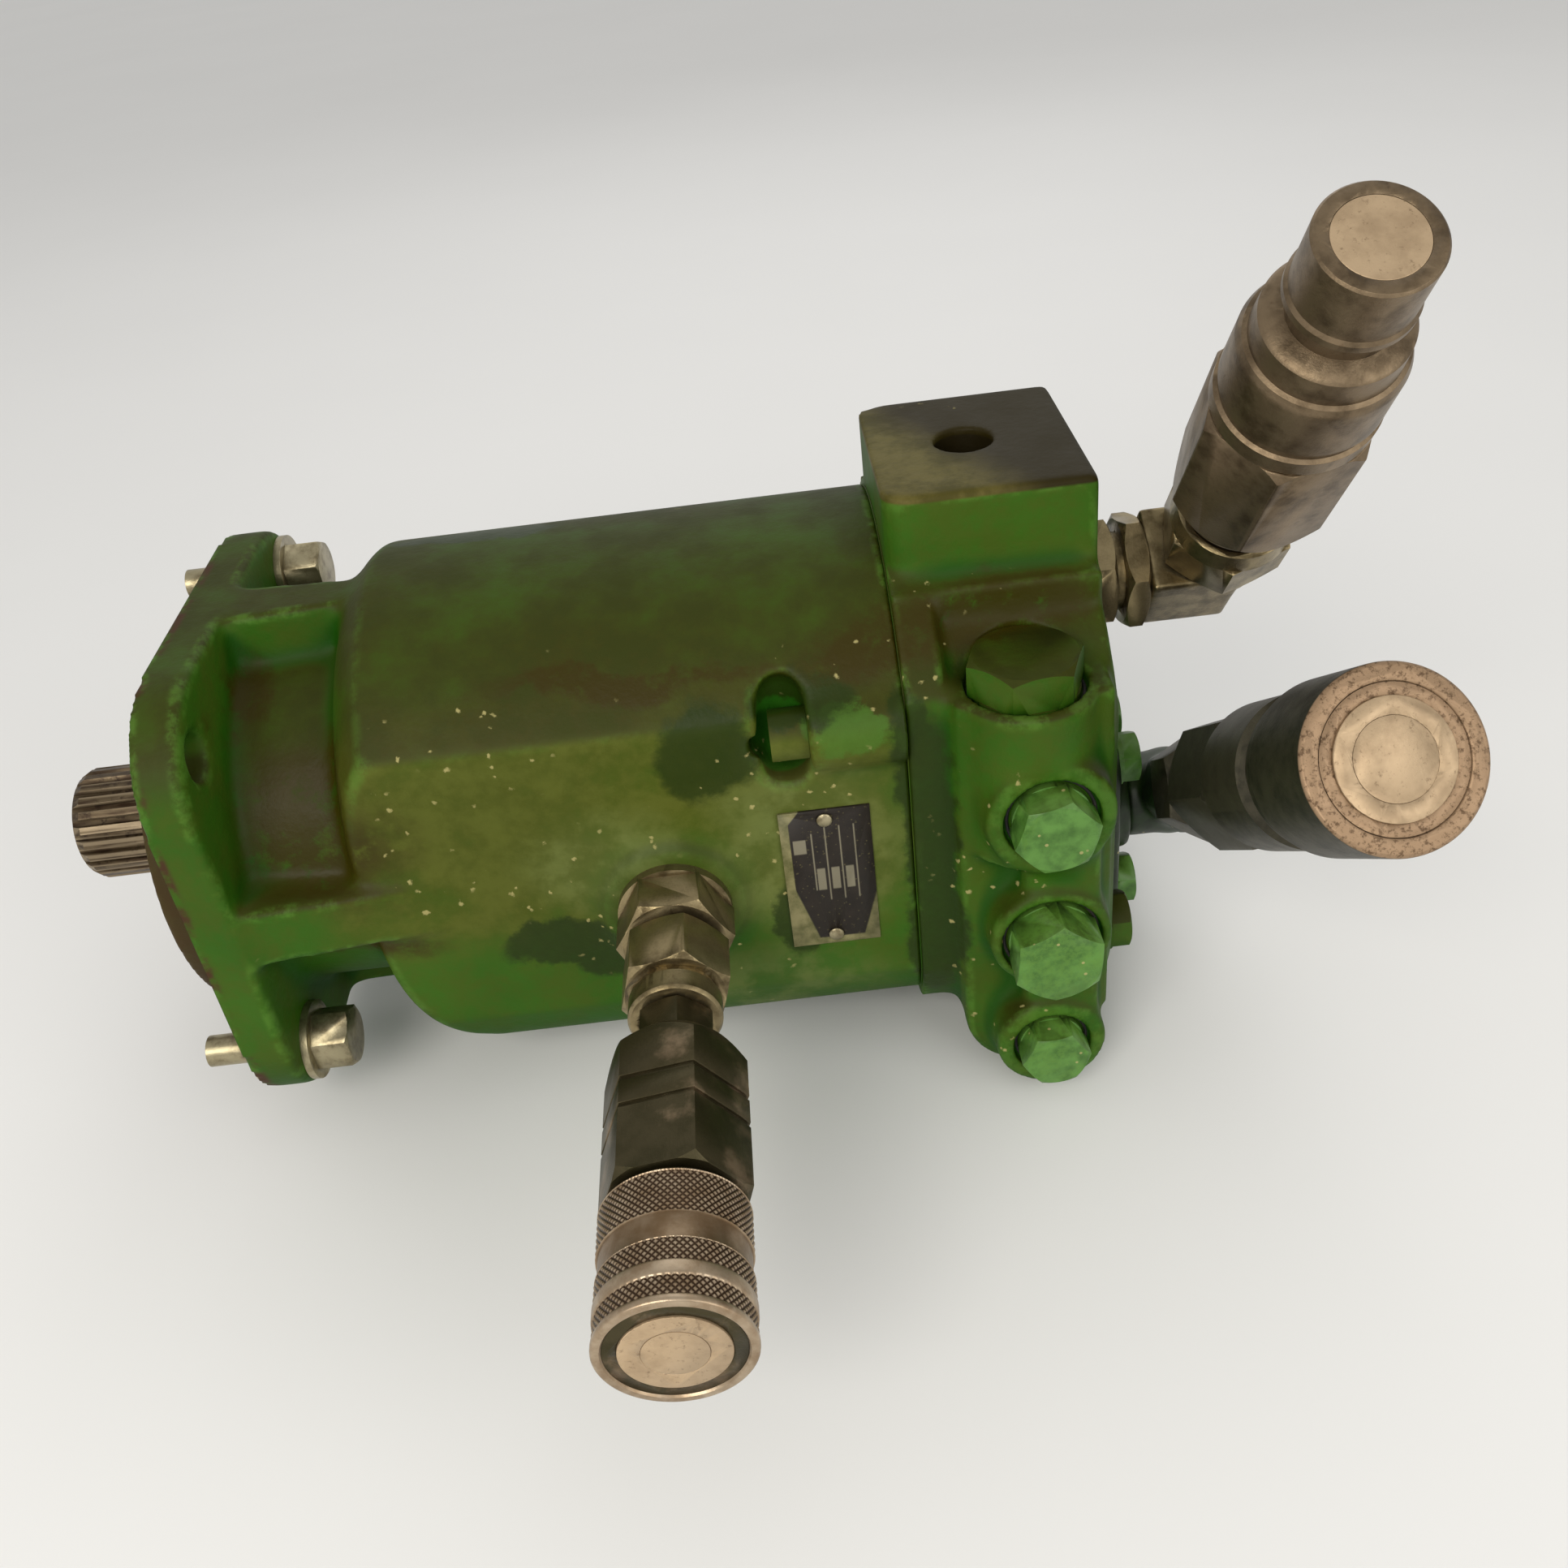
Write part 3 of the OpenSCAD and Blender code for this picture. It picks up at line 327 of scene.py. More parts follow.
def stained(g, colour, noises):
    """The paint under its clean and hazy patches, stains, rust and block-top film, a painted highlight on a
    screw boss, a painted shadow ring round the drain boss and painted shade in the block's port hole, and
    how much of it is oiled.
    """
    medium, grit, mottle, front, curve = noises
    place = g.warped(9, 20, 7)
    streaky = g.warped(13, 34, 8)

    pocket = g.times(g.patch(g.place, *CLEAN_POCKET, 0.06), g.spread(medium, 0.7, 1.0))
    colour = g.mix(g.times(pocket, 0.85), colour, rgb(34, 92, 14))
    # A lighter green patch on the screw boss: a painted highlight.
    boss = g.patch(place, *BOSS_HIGHLIGHT, 0.1)
    colour = g.mix(g.times(boss, g.spread(grit, 0.5, 0.85)), colour, rgb(66, 104, 32))
    # A darker green ring round the drain port's boss: painted shadow at the boss's edge.
    drain = centre_mm("drain_sleeve")
    beside = g.vector("SUBTRACT", g.place, (drain.x * MM, 0, drain.z * MM))
    away = g.vector("LENGTH", g.vector("MULTIPLY", beside, (1, 0, 1)))
    ring = g.times(g.window(away, 17, 24, 1.5), front, g.spread(medium, 0.5, 1.0))
    colour = g.mix(g.times(ring, 0.6), colour, rgb(36, 60, 6))
    # The inside of the block's port hole goes dark brown: painted shade in the hole.
    colour = g.mix(g.patch(g.place, *BLOCK_HOLE, 0.02), colour, rgb(30, 24, 6))

    haze = g.most(*[g.patch(place, *patch) for patch in HAZE_PATCHES])
    colour = g.mix(g.times(haze, g.spread(g.step(medium, 0.4, 0.6), 0.15, 0.42)), colour, HAZE)
    pools = g.most(*[g.patch(place, c, r, 0.16) for c, r in GREEN_POOLS])
    colour = g.mix(g.times(pools, g.spread(grit, 0.75, 0.98)), colour, DARK_OIL)
    browns = g.times(g.most(*[g.patch(streaky, c, r, 0.4) for c, r in BROWN_STREAKS]),
                     g.step(g.noise(9, 6, 0.7), 0.28, 0.5))
    colour = g.mix(g.times(browns, 0.92), colour, BROWN_OIL)

    block = g.times(g.step(g.z, 98 * MM, 99 * MM), g.step(g.x, 212 * MM, 214 * MM))
    slant = g.plus(g.math("SUBTRACT", g.x, 238 * MM), g.times(g.y, 0.5), g.times(g.noise(24, 4), 14 * MM))
    band = g.step(slant, 16 * MM, -6 * MM)
    block_film = g.mix(band, rgb(40, 33, 3), g.mix(mottle, rgb(94, 86, 40), rgb(68, 63, 20)))
    colour = g.mix(block, colour, block_film)

    rusted = g.times(g.step(g.x, -0.2 * MM, -1.2 * MM), g.spread(medium, 0.75, 1.0))
    edge = g.times(g.window(g.x, -1.5, 3.5, 1.5), g.step(medium, 0.48, 0.62), g.step(curve, 0.1, 0.6))
    return g.mix(g.most(rusted, edge), colour, RUST), g.most(pools, browns)


def cast_paint(name, stains=True):
    """Green enamel over a rough casting, under a film of dust and oil, with glossy oil stains and pale
    specks; painted shade in its hollows, under it and on its tops, and a painted highlight on its ridges.
    """
    g = Graph(name)
    large = g.noise(70, 3)
    medium = g.noise(16, 6, 0.6)
    grit = g.noise(3.2, 5, 0.65)
    curve = g.attribute("convexity")
    hollow = g.step(curve, -0.12, -0.9)
    ridge = g.step(curve, 0.45, 1.15)
    front = g.step(g.y, -50 * MM, -58 * MM)
    mottle = g.step(g.plus(g.times(medium, 0.7), g.times(grit, 0.3)), 0.38, 0.62)

    colour = g.mix(g.step(large, 0.3, 0.7), GREEN, g.mix(0.5, GREEN, DEEP_GREEN))
    colour = g.mix(g.times(mottle, 0.35), colour, OLIVE)
    # Hollows go deep green: partly cleaner, undusted paint, partly painted shade in the hollows.
    colour = g.mix(g.times(hollow, 0.85), colour, DEEP_GREEN)
    # Faces turned downward are darkened towards deep green: painted shade under the casting.
    colour = g.mix(g.times(g.step(g.facing_z, 0.0, -0.5), 0.5), colour, DEEP_GREEN)

    broken = g.step(g.plus(g.times(medium, 0.6), g.times(large, 0.6)), 0.40, 0.7)
    film = g.times(g.spread(broken, 0.55, 1.0), g.spread(hollow, 1.0, 0.4))
    belt = g.times(g.window(g.z, -20, 90, 12), g.window(g.x, 40, 214, 10), front, 0.72)
    colour = g.mix(g.times(belt, film), colour, g.mix(mottle, OLIVE, rgb(86, 88, 30)))
    # Faces turned upward go dark olive: partly a dust and oil film, partly painted shade on the tops.
    upward = g.step(g.facing_z, 0.15, 0.7)
    colour = g.mix(g.times(upward, film, 0.95), colour, g.mix(mottle, TOP_OLIVE, rgb(46, 50, 6)))
    # Light green on ridges: partly rubbed paint, partly a painted highlight along the edges.
    scuffs_and_edge_highlight = g.times(ridge, g.step(g.noise(9, 6, 0.7), 0.42, 0.62), 0.4)
    colour = g.mix(scuffs_and_edge_highlight, colour, LIGHT_GREEN)

    rough = g.spread(medium, 0.46, 0.66)
    if stains:
        colour, oiled = stained(g, colour, (medium, grit, mottle, front, curve))
        rough = g.math("SUBTRACT", rough, g.times(oiled, 0.12))

    away, number = g.cells(3.6, g.warped(2.5, 6))
    crowd = g.most(*[g.patch(g.place, c, r, 0.6) for c, r in SPECK_CROWDS])
    chance = g.plus(g.times(crowd, 0.75), g.times(g.step(large, 0.5, 0.66), 0.3), g.noise(9, 3))
    specks = g.times(g.step(away, 0.27, 0.12), g.chosen(number, 7.3, 0.70, 0.74), g.step(chance, 0.78, 1.02))
    colour = g.mix(g.times(specks, 0.72), colour, SPECK)

    height = g.plus(g.times(g.noise(7, 3), 0.5), g.times(g.noise(2.2, 3, 0.6), 0.24), g.times(specks, 0.2))
    return g.finish(colour, rough, g.bump(height, 0.5), Specular_IOR_Level=0.14)


def plug_paint(name, base, shade, dust):
    """Fresh-looking enamel on turned and hexagonal steel, dusty on top, with painted shade in its cavities
    and light green at its edges, partly rubbed paint and partly a painted highlight.
    """
    g = Graph(name)
    medium = g.noise(7, 5, 0.6)
    edge = g.pointiness(0.53, 0.60)
    cavity = g.pointiness(0.48, 0.42)
    colour = g.mix(g.step(medium, 0.35, 0.7), base, shade)
    colour = g.mix(g.times(g.step(g.facing_z, 0.3, 0.9), g.spread(medium, 0.25, 0.75), dust), colour, OLIVE)
    # Cavities go deep green: painted shade.
    colour = g.mix(g.times(cavity, 0.6), colour, DEEP_GREEN)
    # Light green on the edges: partly rubbed paint, partly a painted highlight along the edges.
    colour = g.mix(g.times(edge, g.step(g.noise(2, 4, 0.7), 0.4, 0.6), 0.55), colour, LIGHT_GREEN)
    away, number = g.cells(3.4)
    specks = g.times(g.step(away, 0.2, 0.12), g.chosen(number, 5.1, 0.86, 0.9))
    colour = g.mix(g.times(specks, 0.7), colour, SPECK)
    height = g.plus(g.times(g.noise(2.4, 3), 0.6), g.times(g.noise(0.5, 2), 0.12))
    return g.finish(colour, g.spread(medium, 0.34, 0.52), g.bump(height, 0.09), Specular_IOR_Level=0.4)


# ---- metals ----


def metal(name, clean, dirty, rough=(0.28, 0.5), size=6.0, grime=0.5, rust=0.0, metallic=0.85, pits=0.25,
          bare=None, oil_and_reflection_x=None):
    """Plated or turned steel with blotches of grime, fine scratches and, on old pieces, rust and pits.

    bare is a plane, as a normal and a distance in millimetres, beyond which the plating is worn off;
    the last argument is a station along X, in millimetres, before which the metal is darkened to an olive
    tint: a dark oil film and a painted green reflection of the housing.
    """
    g = Graph(name)
    blotch = g.noise(size, 6, 0.62)
    fine = g.noise(0.7, 4, 0.7)
    edge = g.pointiness(0.52, 0.58)
    cavity = g.pointiness(0.49, 0.43)
    blotched = g.step(blotch, 0.6 - 0.42 * grime, 0.86 - 0.25 * grime)
    dirt = g.most(g.times(blotched, 0.75), g.times(cavity, 0.9))
    colour = g.mix(dirt, clean, dirty)
    polished = tuple(min(1, c * 1.5) for c in clean[:3]) + (1,)
    colour = g.mix(g.times(edge, g.spread(fine, 0.1, 0.9)), colour, polished)
    if rust:
        spots = g.step(g.noise(size * 0.7, 8, 0.72), 0.62 - 0.2 * rust, 0.78 - 0.2 * rust)
        colour = g.mix(g.times(spots, 0.6), colour, RUST)
    if oil_and_reflection_x:
        # An olive darkening before the station: a dark oil film and a painted green reflection of the
        # housing.
        oil_and_reflection = g.times(g.step(g.x, oil_and_reflection_x * MM, (oil_and_reflection_x - 2) * MM), g.step(g.noise(14, 5, 0.6), 0.3, 0.5))
        colour = g.mix(g.times(oil_and_reflection, 0.8), colour, rgb(44, 44, 20))
    if bare:
        along = g.vector("DOT_PRODUCT", g.place, bare[0])
        worn = g.step(along, (bare[1] - 0.5) * MM, bare[1] * MM)
        freckled = g.mix(g.step(g.noise(1.6, 7, 0.75), 0.5, 0.62), rgb(150, 124, 96), rgb(96, 74, 52))
        colour = g.mix(worn, colour, freckled)
    scratch = g.noise(0.5, 2, 0.5, place=g.vector("MULTIPLY", g.place, (1.0, 0.12, 1.0)))
    roughness = g.spread(g.plus(g.times(blotch, 0.7), g.times(fine, 0.3)), *rough)
    height = g.plus(g.times(blotch, 0.35), g.times(fine, 0.5), g.times(scratch, 0.25))
    return g.finish(colour, roughness, g.bump(height, 0.06 + 0.25 * pits), Metallic=metallic)


def face_metal(name, clean, dirty):
    """The bare face of a coupler: satin steel freckled with dark pits, and dark in its joints."""
    g = Graph(name)
    freckle = g.step(g.noise(1.6, 7, 0.75), 0.56, 0.66)
    blotch = g.noise(9, 4, 0.6)
    cavity = g.pointiness(0.495, 0.45)
    colour = g.mix(g.step(blotch, 0.35, 0.7), clean, g.mix(0.35, clean, dirty))
    colour = g.mix(g.times(freckle, 0.55), colour, dirty)
    colour = g.mix(g.times(cavity, 0.9), colour, rgb(40, 30, 20))
    height = g.plus(g.times(g.noise(1.1, 5, 0.7), 0.6), g.times(blotch, 0.4))
    return g.finish(colour, g.spread(blotch, 0.38, 0.58), g.bump(height, 0.12), Metallic=0.55)


def knurl_metal(name):
    """Plated steel: bright on the crests of the knurling and brown with dirt in its grooves."""
    g = Graph(name)
    blotch = g.noise(6, 5, 0.6)
    depth = g.attribute("groove")
    colour = g.mix(g.step(blotch, 0.3, 0.7), rgb(176, 158, 134), rgb(140, 118, 92))
    colour = g.mix(g.step(depth, 0.25, 0.8), colour, rgb(62, 44, 28))
    colour = g.mix(g.times(g.attribute("band"), g.spread(blotch, 0.5, 1.0)), colour, rgb(104, 82, 56))
    height = g.plus(g.times(g.noise(0.8, 4), 0.5), g.times(blotch, 0.4))
    return g.finish(colour, g.spread(blotch, 0.26, 0.44), g.bump(height, 0.08), Metallic=0.8)


def shaft_metal(name):
    """Dark oiled spline steel with rust in the grooves and a few bright scratches."""
    g = Graph(name)
    streak = g.noise(1.6, 6, 0.5, place=g.vector("MULTIPLY", g.place, (0.15, 1.0, 1.0)))
    colour = g.mix(g.step(streak, 0.35, 0.7), rgb(98, 84, 62), rgb(54, 38, 22))
    colour = g.mix(g.step(g.noise(5, 6, 0.7), 0.52, 0.66), colour, rgb(44, 30, 18))
    colour = g.mix(g.times(g.pointiness(0.52, 0.6), 0.7), colour, rgb(150, 134, 108))
    rough = g.spread(streak, 0.3, 0.55)
    return g.finish(colour, rough, g.bump(streak, 0.1), Metallic=0.7)


def rubber(name):
    g = Graph(name)
    dust = g.noise(4, 5, 0.65)
    colour = g.mix(g.step(dust, 0.4, 0.75), rgb(22, 22, 20), rgb(52, 48, 40))
    return g.finish(colour, g.spread(dust, 0.55, 0.8), g.bump(g.noise(0.6, 4), 0.06))


def nameplate_print(name):
    """A black printed field on a bare plate, with plain rules and blocks instead of text."""
    g = Graph(name)
    low, high = box_mm("nameplate")
    across = g.times(g.math("SUBTRACT", g.x, low.x * MM), 1 / ((high.x - low.x) * MM))
    up = g.times(g.math("SUBTRACT", g.z, low.z * MM), 1 / ((high.z - low.z) * MM))
    soft = 0.006

    def block(x0, x1, z0, z1):
        """1 in a rectangle given in shares of the plate's width and height."""
        return g.times(g.step(across, x0 - soft, x0 + soft), g.step(across, x1 + soft, x1 - soft),
                       g.step(up, z0 - soft, z0 + soft), g.step(up, z1 + soft, z1 - soft))

    def beyond(slope_x, slope_z, limit):
        """1 where slope_x * across + slope_z * up is more than limit."""
        return g.step(g.plus(g.times(across, slope_x), g.times(up, slope_z)), limit - 0.012, limit + 0.012)

    field = g.times(block(0.10, 1.1, 0.05, 1.1), beyond(1.0, 0.55, 0.34), beyond(-1.0, 0.55, -0.80),
                    beyond(1.0, -1.5, -1.28))
    labels = [block(x, x + 0.09, 0.42, 0.58) for x in (0.36, 0.52, 0.68)]
    rules = [block(x, x + 0.015, 0.34, 0.88) for x in (0.48, 0.64, 0.80)]
    marks = g.most(block(0.13, 0.27, 0.70, 0.80), block(0.33, 0.345, 0.42, 0.84), *labels, *rules)
    worn = g.step(g.noise(3, 7, 0.75), 0.60, 0.68)
    speck = g.step(g.cells(1.7)[0], 0.2, 0.12)
    bare = g.mix(g.step(g.noise(5, 5, 0.6), 0.3, 0.7), rgb(128, 122, 84), rgb(84, 84, 48))
    black = g.mix(g.noise(4, 4), rgb(18, 15, 13), rgb(44, 37, 30))
    colour = g.mix(field, bare, black)
    colour = g.mix(g.times(marks, field, 0.65), colour, rgb(140, 134, 112))
    colour = g.mix(g.times(g.most(g.times(worn, 0.5), g.times(speck, 0.5)), 0.55), colour, rgb(120, 112, 74))
    height = g.plus(g.times(field, 0.6), g.times(marks, 0.3), g.times(g.noise(0.8, 4), 0.15))
    rough = g.spread(g.noise(4, 4), 0.36, 0.54)
    return g.finish(colour, rough, g.bump(height, 0.06), Specular_IOR_Level=0.25)


# The pressure coupler's direction, and how far along it the rim of its face starts to be bare
PRESSURE_SOCKET = next(m for m in frame["record"]["mounts"] if m["name"] == "pressure_coupler_socket")
PRESSURE_AXIS = tuple(PRESSURE_SOCKET["axis"])
BARE_FROM = Vector(PRESSURE_SOCKET["pos_m"]).dot(Vector(PRESSURE_AXIS)) / MM - 0.6

cast_paint("green_paint")
cast_paint("painted_gasket", stains=False)
plug_paint("bright_green_paint", rgb(84, 130, 52), rgb(54, 94, 26), 0.5)
plug_paint("dark_green_paint", rgb(28, 48, 18), rgb(16, 28, 10), 0.2)
rubber("rubber")
metal("black_steel", rgb(52, 50, 44), rgb(28, 24, 18), (0.35, 0.6), grime=0.6)
shaft_metal("shaft_steel")
metal("bearing_steel", rgb(178, 174, 166), rgb(120, 112, 96), (0.12, 0.28), grime=0.1, pits=0)
metal("machined_steel", rgb(150, 146, 138), rgb(96, 84, 64), (0.25, 0.42), grime=0.3, pits=0.1)
metal("bronze", rgb(176, 132, 66), rgb(108, 74, 34), (0.25, 0.45), grime=0.3, pits=0.1)
nameplate_print("nameplate_black")
metal("bright_zinc", rgb(166, 156, 126), rgb(92, 80, 54), (0.24, 0.42), 5, 0.5, 0.12, 0.9)
metal("fitting_zinc", rgb(138, 124, 92), rgb(56, 44, 20), (0.24, 0.44), 7, 0.62, 0.1, 0.9)
metal("coupler_steel", rgb(122, 105, 82), rgb(60, 47, 30), (0.3, 0.5), 8, 0.5, 0.15, 0.8, oil_and_reflection_x=200)
knurl_metal("knurled_steel")
face_metal("face_steel", rgb(184, 160, 128), rgb(104, 82, 56))
metal("dark_coupler_steel", rgb(66, 62, 48), rgb(30, 30, 18), (0.35, 0.6), 6, 0.6, 0.15, 0.6,
      bare=(PRESSURE_AXIS, BARE_FROM))

SLOTS = {
    "green_paint": ["housing", "end_cap", "rear_drain_plug", "top_plug", "cap_screws"],
    "painted_gasket": ["cap_gasket"],
    "bright_green_paint": ["gauge_plug", "shuttle_plug", "relief_plug", "pressure_flange_screws"],
    "dark_green_paint": ["pressure_flange", "pressure_elbow"],
    "rubber": ["plug_seals", "shaft_seal"],
    "black_steel": ["retaining_ring"],
    "shaft_steel": ["drive_shaft"],
    "nameplate_black": ["nameplate"],
    "bright_zinc": ["nameplate_pins", "flange_bolts", "flange_washers"],
    "fitting_zinc": ["drain_adapter", "drain_swivel_nut", "return_adapter", "return_elbow",
                     "return_swivel_nut"],
    "coupler_steel": ["drain_coupler_body", "return_coupler_body"],
    "knurled_steel": ["drain_sleeve"],
    "face_steel": ["drain_valve_ring", "drain_probe", "return_poppet", "pressure_valve_ring",
                   "pressure_probe"],
    "dark_coupler_steel": ["pressure_coupler_body", "pressure_sleeve"],
    "bronze": ["cylinder_block", "slippers", "valve_plate", "rear_bearing_shell"],
    "bearing_steel": ["front_bearing_outer_race", "front_bearing_inner_race", "front_bearing_rollers",
                      "rear_bearing_needles"],
    "machined_steel": ["seal_carrier"],
}
SLOT_OF = {node: slot for slot, nodes in SLOTS.items() for node in nodes}


def dress(piece, slot):
    piece.data.materials.clear()
    piece.data.materials.append(MATERIALS[slot])


for node_name, node in frame["nodes"].items():
    dress(node, SLOT_OF.get(node_name, "machined_steel"))

# ---- making pieces from the nodes ----


def body_named(node_name):
    return next(b for b, nodes in frame["record"]["behaviour"]["bodies"].items() if node_name in nodes)


def new_piece(name, mesh, node_name):
    """A piece that stands for a node: it rides on that node's body and has its finish."""
    piece = bpy.data.objects.new(name, mesh)
    bpy.context.scene.collection.objects.link(piece)
    dress(piece, SLOT_OF[node_name])
    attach(piece, body_named(node_name))
    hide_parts(node_name)
    return piece


def joined_mesh(node_name):
    """A copy of the node's mesh with its vertices joined, so that its faces share their edges."""
    mesh = bpy.data.meshes.new(node_name + "_joined")
    work = bmesh.new()
    work.from_mesh(frame["nodes"][node_name].data)
    bmesh.ops.remove_doubles(work, verts=work.verts, dist=0.002 * MM)
    work.to_mesh(mesh)
    work.free()
    for name in ("custom_normal", "sharp_edge"):
        if name in mesh.attributes:
            mesh.attributes.remove(mesh.attributes[name])
    return mesh


def with_modifiers(name, mesh, *modifiers):
    """The mesh that the modifiers make of mesh; each is a kind and its settings."""
    holder = bpy.data.objects.new(name, mesh)
    bpy.context.scene.collection.objects.link(holder)
    for kind, settings in modifiers:
        modifier = holder.modifiers.new(kind.lower(), kind)
        for setting, value in settings.items():
            setattr(modifier, setting, value)
    graph = bpy.context.evaluated_depsgraph_get()
    graph.update()
    result = bpy.data.meshes.new_from_object(
        holder.evaluated_get(graph), preserve_all_data_layers=True, depsgraph=graph)
    bpy.data.objects.remove(holder)
    return result


def bevelled(node_name, width=0.4, angle=28):
    """The node with its sharp edges broken by a small rounded bevel, width in millimetres."""
    mesh = with_modifiers(
        node_name + "_work", joined_mesh(node_name),
        ("DECIMATE", {"decimate_type": "DISSOLVE", "angle_limit": math.radians(0.4)}),
        ("BEVEL", {"width": width * MM, "segments": 2, "limit_method": "ANGLE",
                   "angle_limit": math.radians(angle), "use_clamp_overlap": True}),
        ("WEIGHTED_NORMAL", {"keep_sharp": False}))
    mesh.polygons.foreach_set("use_smooth", [True] * len(mesh.polygons))
    return new_piece(node_name + "_detail", mesh, node_name)


def neighbour_mean(points, edges, count):
    """The mean of each point's neighbours."""
    total = np.zeros_like(points)
    for axis in range(3):
        total[:, axis] += np.bincount(edges[:, 0], points[edges[:, 1], axis], len(points))
        total[:, axis] += np.bincount(edges[:, 1], points[edges[:, 0], axis], len(points))
    return total / count[:, None]


def point_normals(points, quads):
    """Unit normals of the points of a mesh of quads."""
    face = np.cross(points[quads[:, 2]] - points[quads[:, 0]], points[quads[:, 3]] - points[quads[:, 1]])
    normal = np.zeros_like(points)
    for axis in range(3):
        for corner in range(4):
            normal[:, axis] += np.bincount(quads[:, corner], face[:, axis], len(points))
    return normal / np.maximum(np.linalg.norm(normal, axis=1), 1e-20)[:, None]


def cast_surface(node_name, voxel, fill, ease, free):
    """The node as a casting: its inner corners are filled with fillets and its outer ones eased.

    voxel is the size of the new mesh's quads in millimetres, fill and ease are counts of smoothing passes,
    and free(points) gives each point's freedom to move, from 0 on machined faces to 1.
    """
    mesh = with_modifiers(node_name + "_work", joined_mesh(node_name),
                          ("REMESH", {"mode": "VOXEL", "voxel_size": voxel * MM}))
    points = np.empty(len(mesh.vertices) * 3, np.float32)
    mesh.vertices.foreach_get("co", points)
    points = points.reshape(-1, 3).astype(float)
    edges = np.empty(len(mesh.edges) * 2, np.int32)
    mesh.edges.foreach_get("vertices", edges)
    edges = edges.reshape(-1, 2)
    quads = np.empty(len(mesh.loops), np.int32)
    mesh.loops.foreach_get("vertex_index", quads)
    quads = quads.reshape(-1, 4)
    count = np.bincount(edges.ravel(), minlength=len(points)).astype(float)
    freedom = free(points / MM)[:, None]
    for turn in range(fill):
        if turn % 8 == 0:
            normal = point_normals(points, quads)
        pull = neighbour_mean(points, edges, count) - points
        out = np.sum(pull * normal, axis=1, keepdims=True)
        slide = pull - out * normal
        eased = 0.5 if turn < 4 else ease / fill
        points += freedom * (0.5 * slide + np.where(out > 0, 0.6 * out, eased * out) * normal)
    blurred = points.copy()
    for turn in range(24):
        blurred += 0.6 * (neighbour_mean(blurred, edges, count) - blurred)
    normal = point_normals(points, quads)
    convexity = np.sum((points - blurred) * normal, axis=1) / (0.5 * MM)
    mesh.vertices.foreach_set("co", points.astype(np.float32).ravel())
    mesh.attributes.new("convexity", "FLOAT", "POINT").data.foreach_set("value", convexity.astype(np.float32))
    mesh.polygons.foreach_set("use_smooth", [True] * len(mesh.polygons))
    mesh.update()
    return new_piece(node_name + "_cast", mesh, node_name)


def smooth_step(value, low, high):
    """0 below low, 1 above high and a smooth rise between."""
    share = np.clip((value - low) / (high - low), 0, 1)
    return share * share * (3 - 2 * share)


JOINT_HOUSING = box_mm("housing")[1].x
JOINT_CAP = box_mm("end_cap")[0].x
NECK_CORE_R = 60
# Radius of each front plug's spot face
SPOT_FACES = {"gauge_plug": 14.2, "shuttle_plug": 15.4, "relief_plug": 12.4}


def housing_freedom(p):
    """Free on the outside; held on the pilot, the mounting face, the cap joint and inside the bores."""
    outside = smooth_step(np.hypot(p[:, 1], p[:, 2]), NECK_CORE_R - 1.2, NECK_CORE_R + 0.5)
    back = 1 - smooth_step(p[:, 0], JOINT_HOUSING - 2.8, JOINT_HOUSING - 0.8)
    front = smooth_step(p[:, 0], 0.5, 2.5)
    return outside * back * front


def cap_freedom(p):
    """Free on the outside; held at the housing joint, in the ports and on the spot faces of the plugs."""
    joint = smooth_step(p[:, 0], JOINT_CAP + 1.2, JOINT_CAP + 3.1)
    spot = np.ones(len(p))
    for plug, radius in SPOT_FACES.items():
        at = centre_mm(plug)
        inside = 1 - smooth_step(np.hypot(p[:, 0] - at.x, p[:, 2] - at.z), radius + 0.8, radius + 2.2)
        spot = np.minimum(spot, 1 - inside * (1 - smooth_step(p[:, 1], -81.2, -79)))
    at = centre_mm("top_plug")
    seat = 1 - smooth_step(np.hypot(p[:, 0] - at.x, p[:, 1] - at.y), 18.2, 19.4)
    seat *= smooth_step(p[:, 2], 44, 47)
    block_port = 1 - smooth_step(np.hypot(p[:, 0] - 245, p[:, 1]), 9.6, 11.5)
    return joint * spot * (1 - seat) * (1 - block_port * smooth_step(p[:, 2], 60, 62))


def everywhere(p):
    return np.ones(len(p))


cast_surface("housing", 1.1, 44, 4, housing_freedom)
cast_surface("end_cap", 1.1, 44, 4, cap_freedom)
cast_surface("return_elbow", 0.6, 26, 12, everywhere)
cast_surface("pressure_elbow", 0.7, 26, 12, everywhere)
cast_surface("pressure_flange", 0.8, 16, 8, everywhere)

# Widths of the bevels in millimetres, and the nodes that get them
BEVELS = {
    0.5: ["top_plug", "gauge_plug", "shuttle_plug", "relief_plug", "rear_drain_plug",
          "pressure_flange_screws", "drain_coupler_body", "return_coupler_body", "pressure_coupler_body"],
    0.35: ["cap_screws", "flange_bolts", "flange_washers", "drain_adapter", "drain_swivel_nut",
           "return_adapter", "return_swivel_nut", "pressure_sleeve", "drive_shaft"],
    0.2: ["nameplate", "nameplate_pins", "retaining_ring", "seal_carrier", "shaft_seal", "cap_gasket",
          "drain_valve_ring", "drain_probe", "return_poppet", "pressure_valve_ring", "pressure_probe"],
}
for bevel_width, node_names in BEVELS.items():
    for node_name in node_names:
        bevelled(node_name, bevel_width)

# ---- knurled sleeve of the drain coupler ----

KNURL_COUNT = 66
KNURL_PITCH = 1.8
KNURL_DEPTH = 0.42
STEPS_EACH = 8
SLEEVE_WALL = 2.52


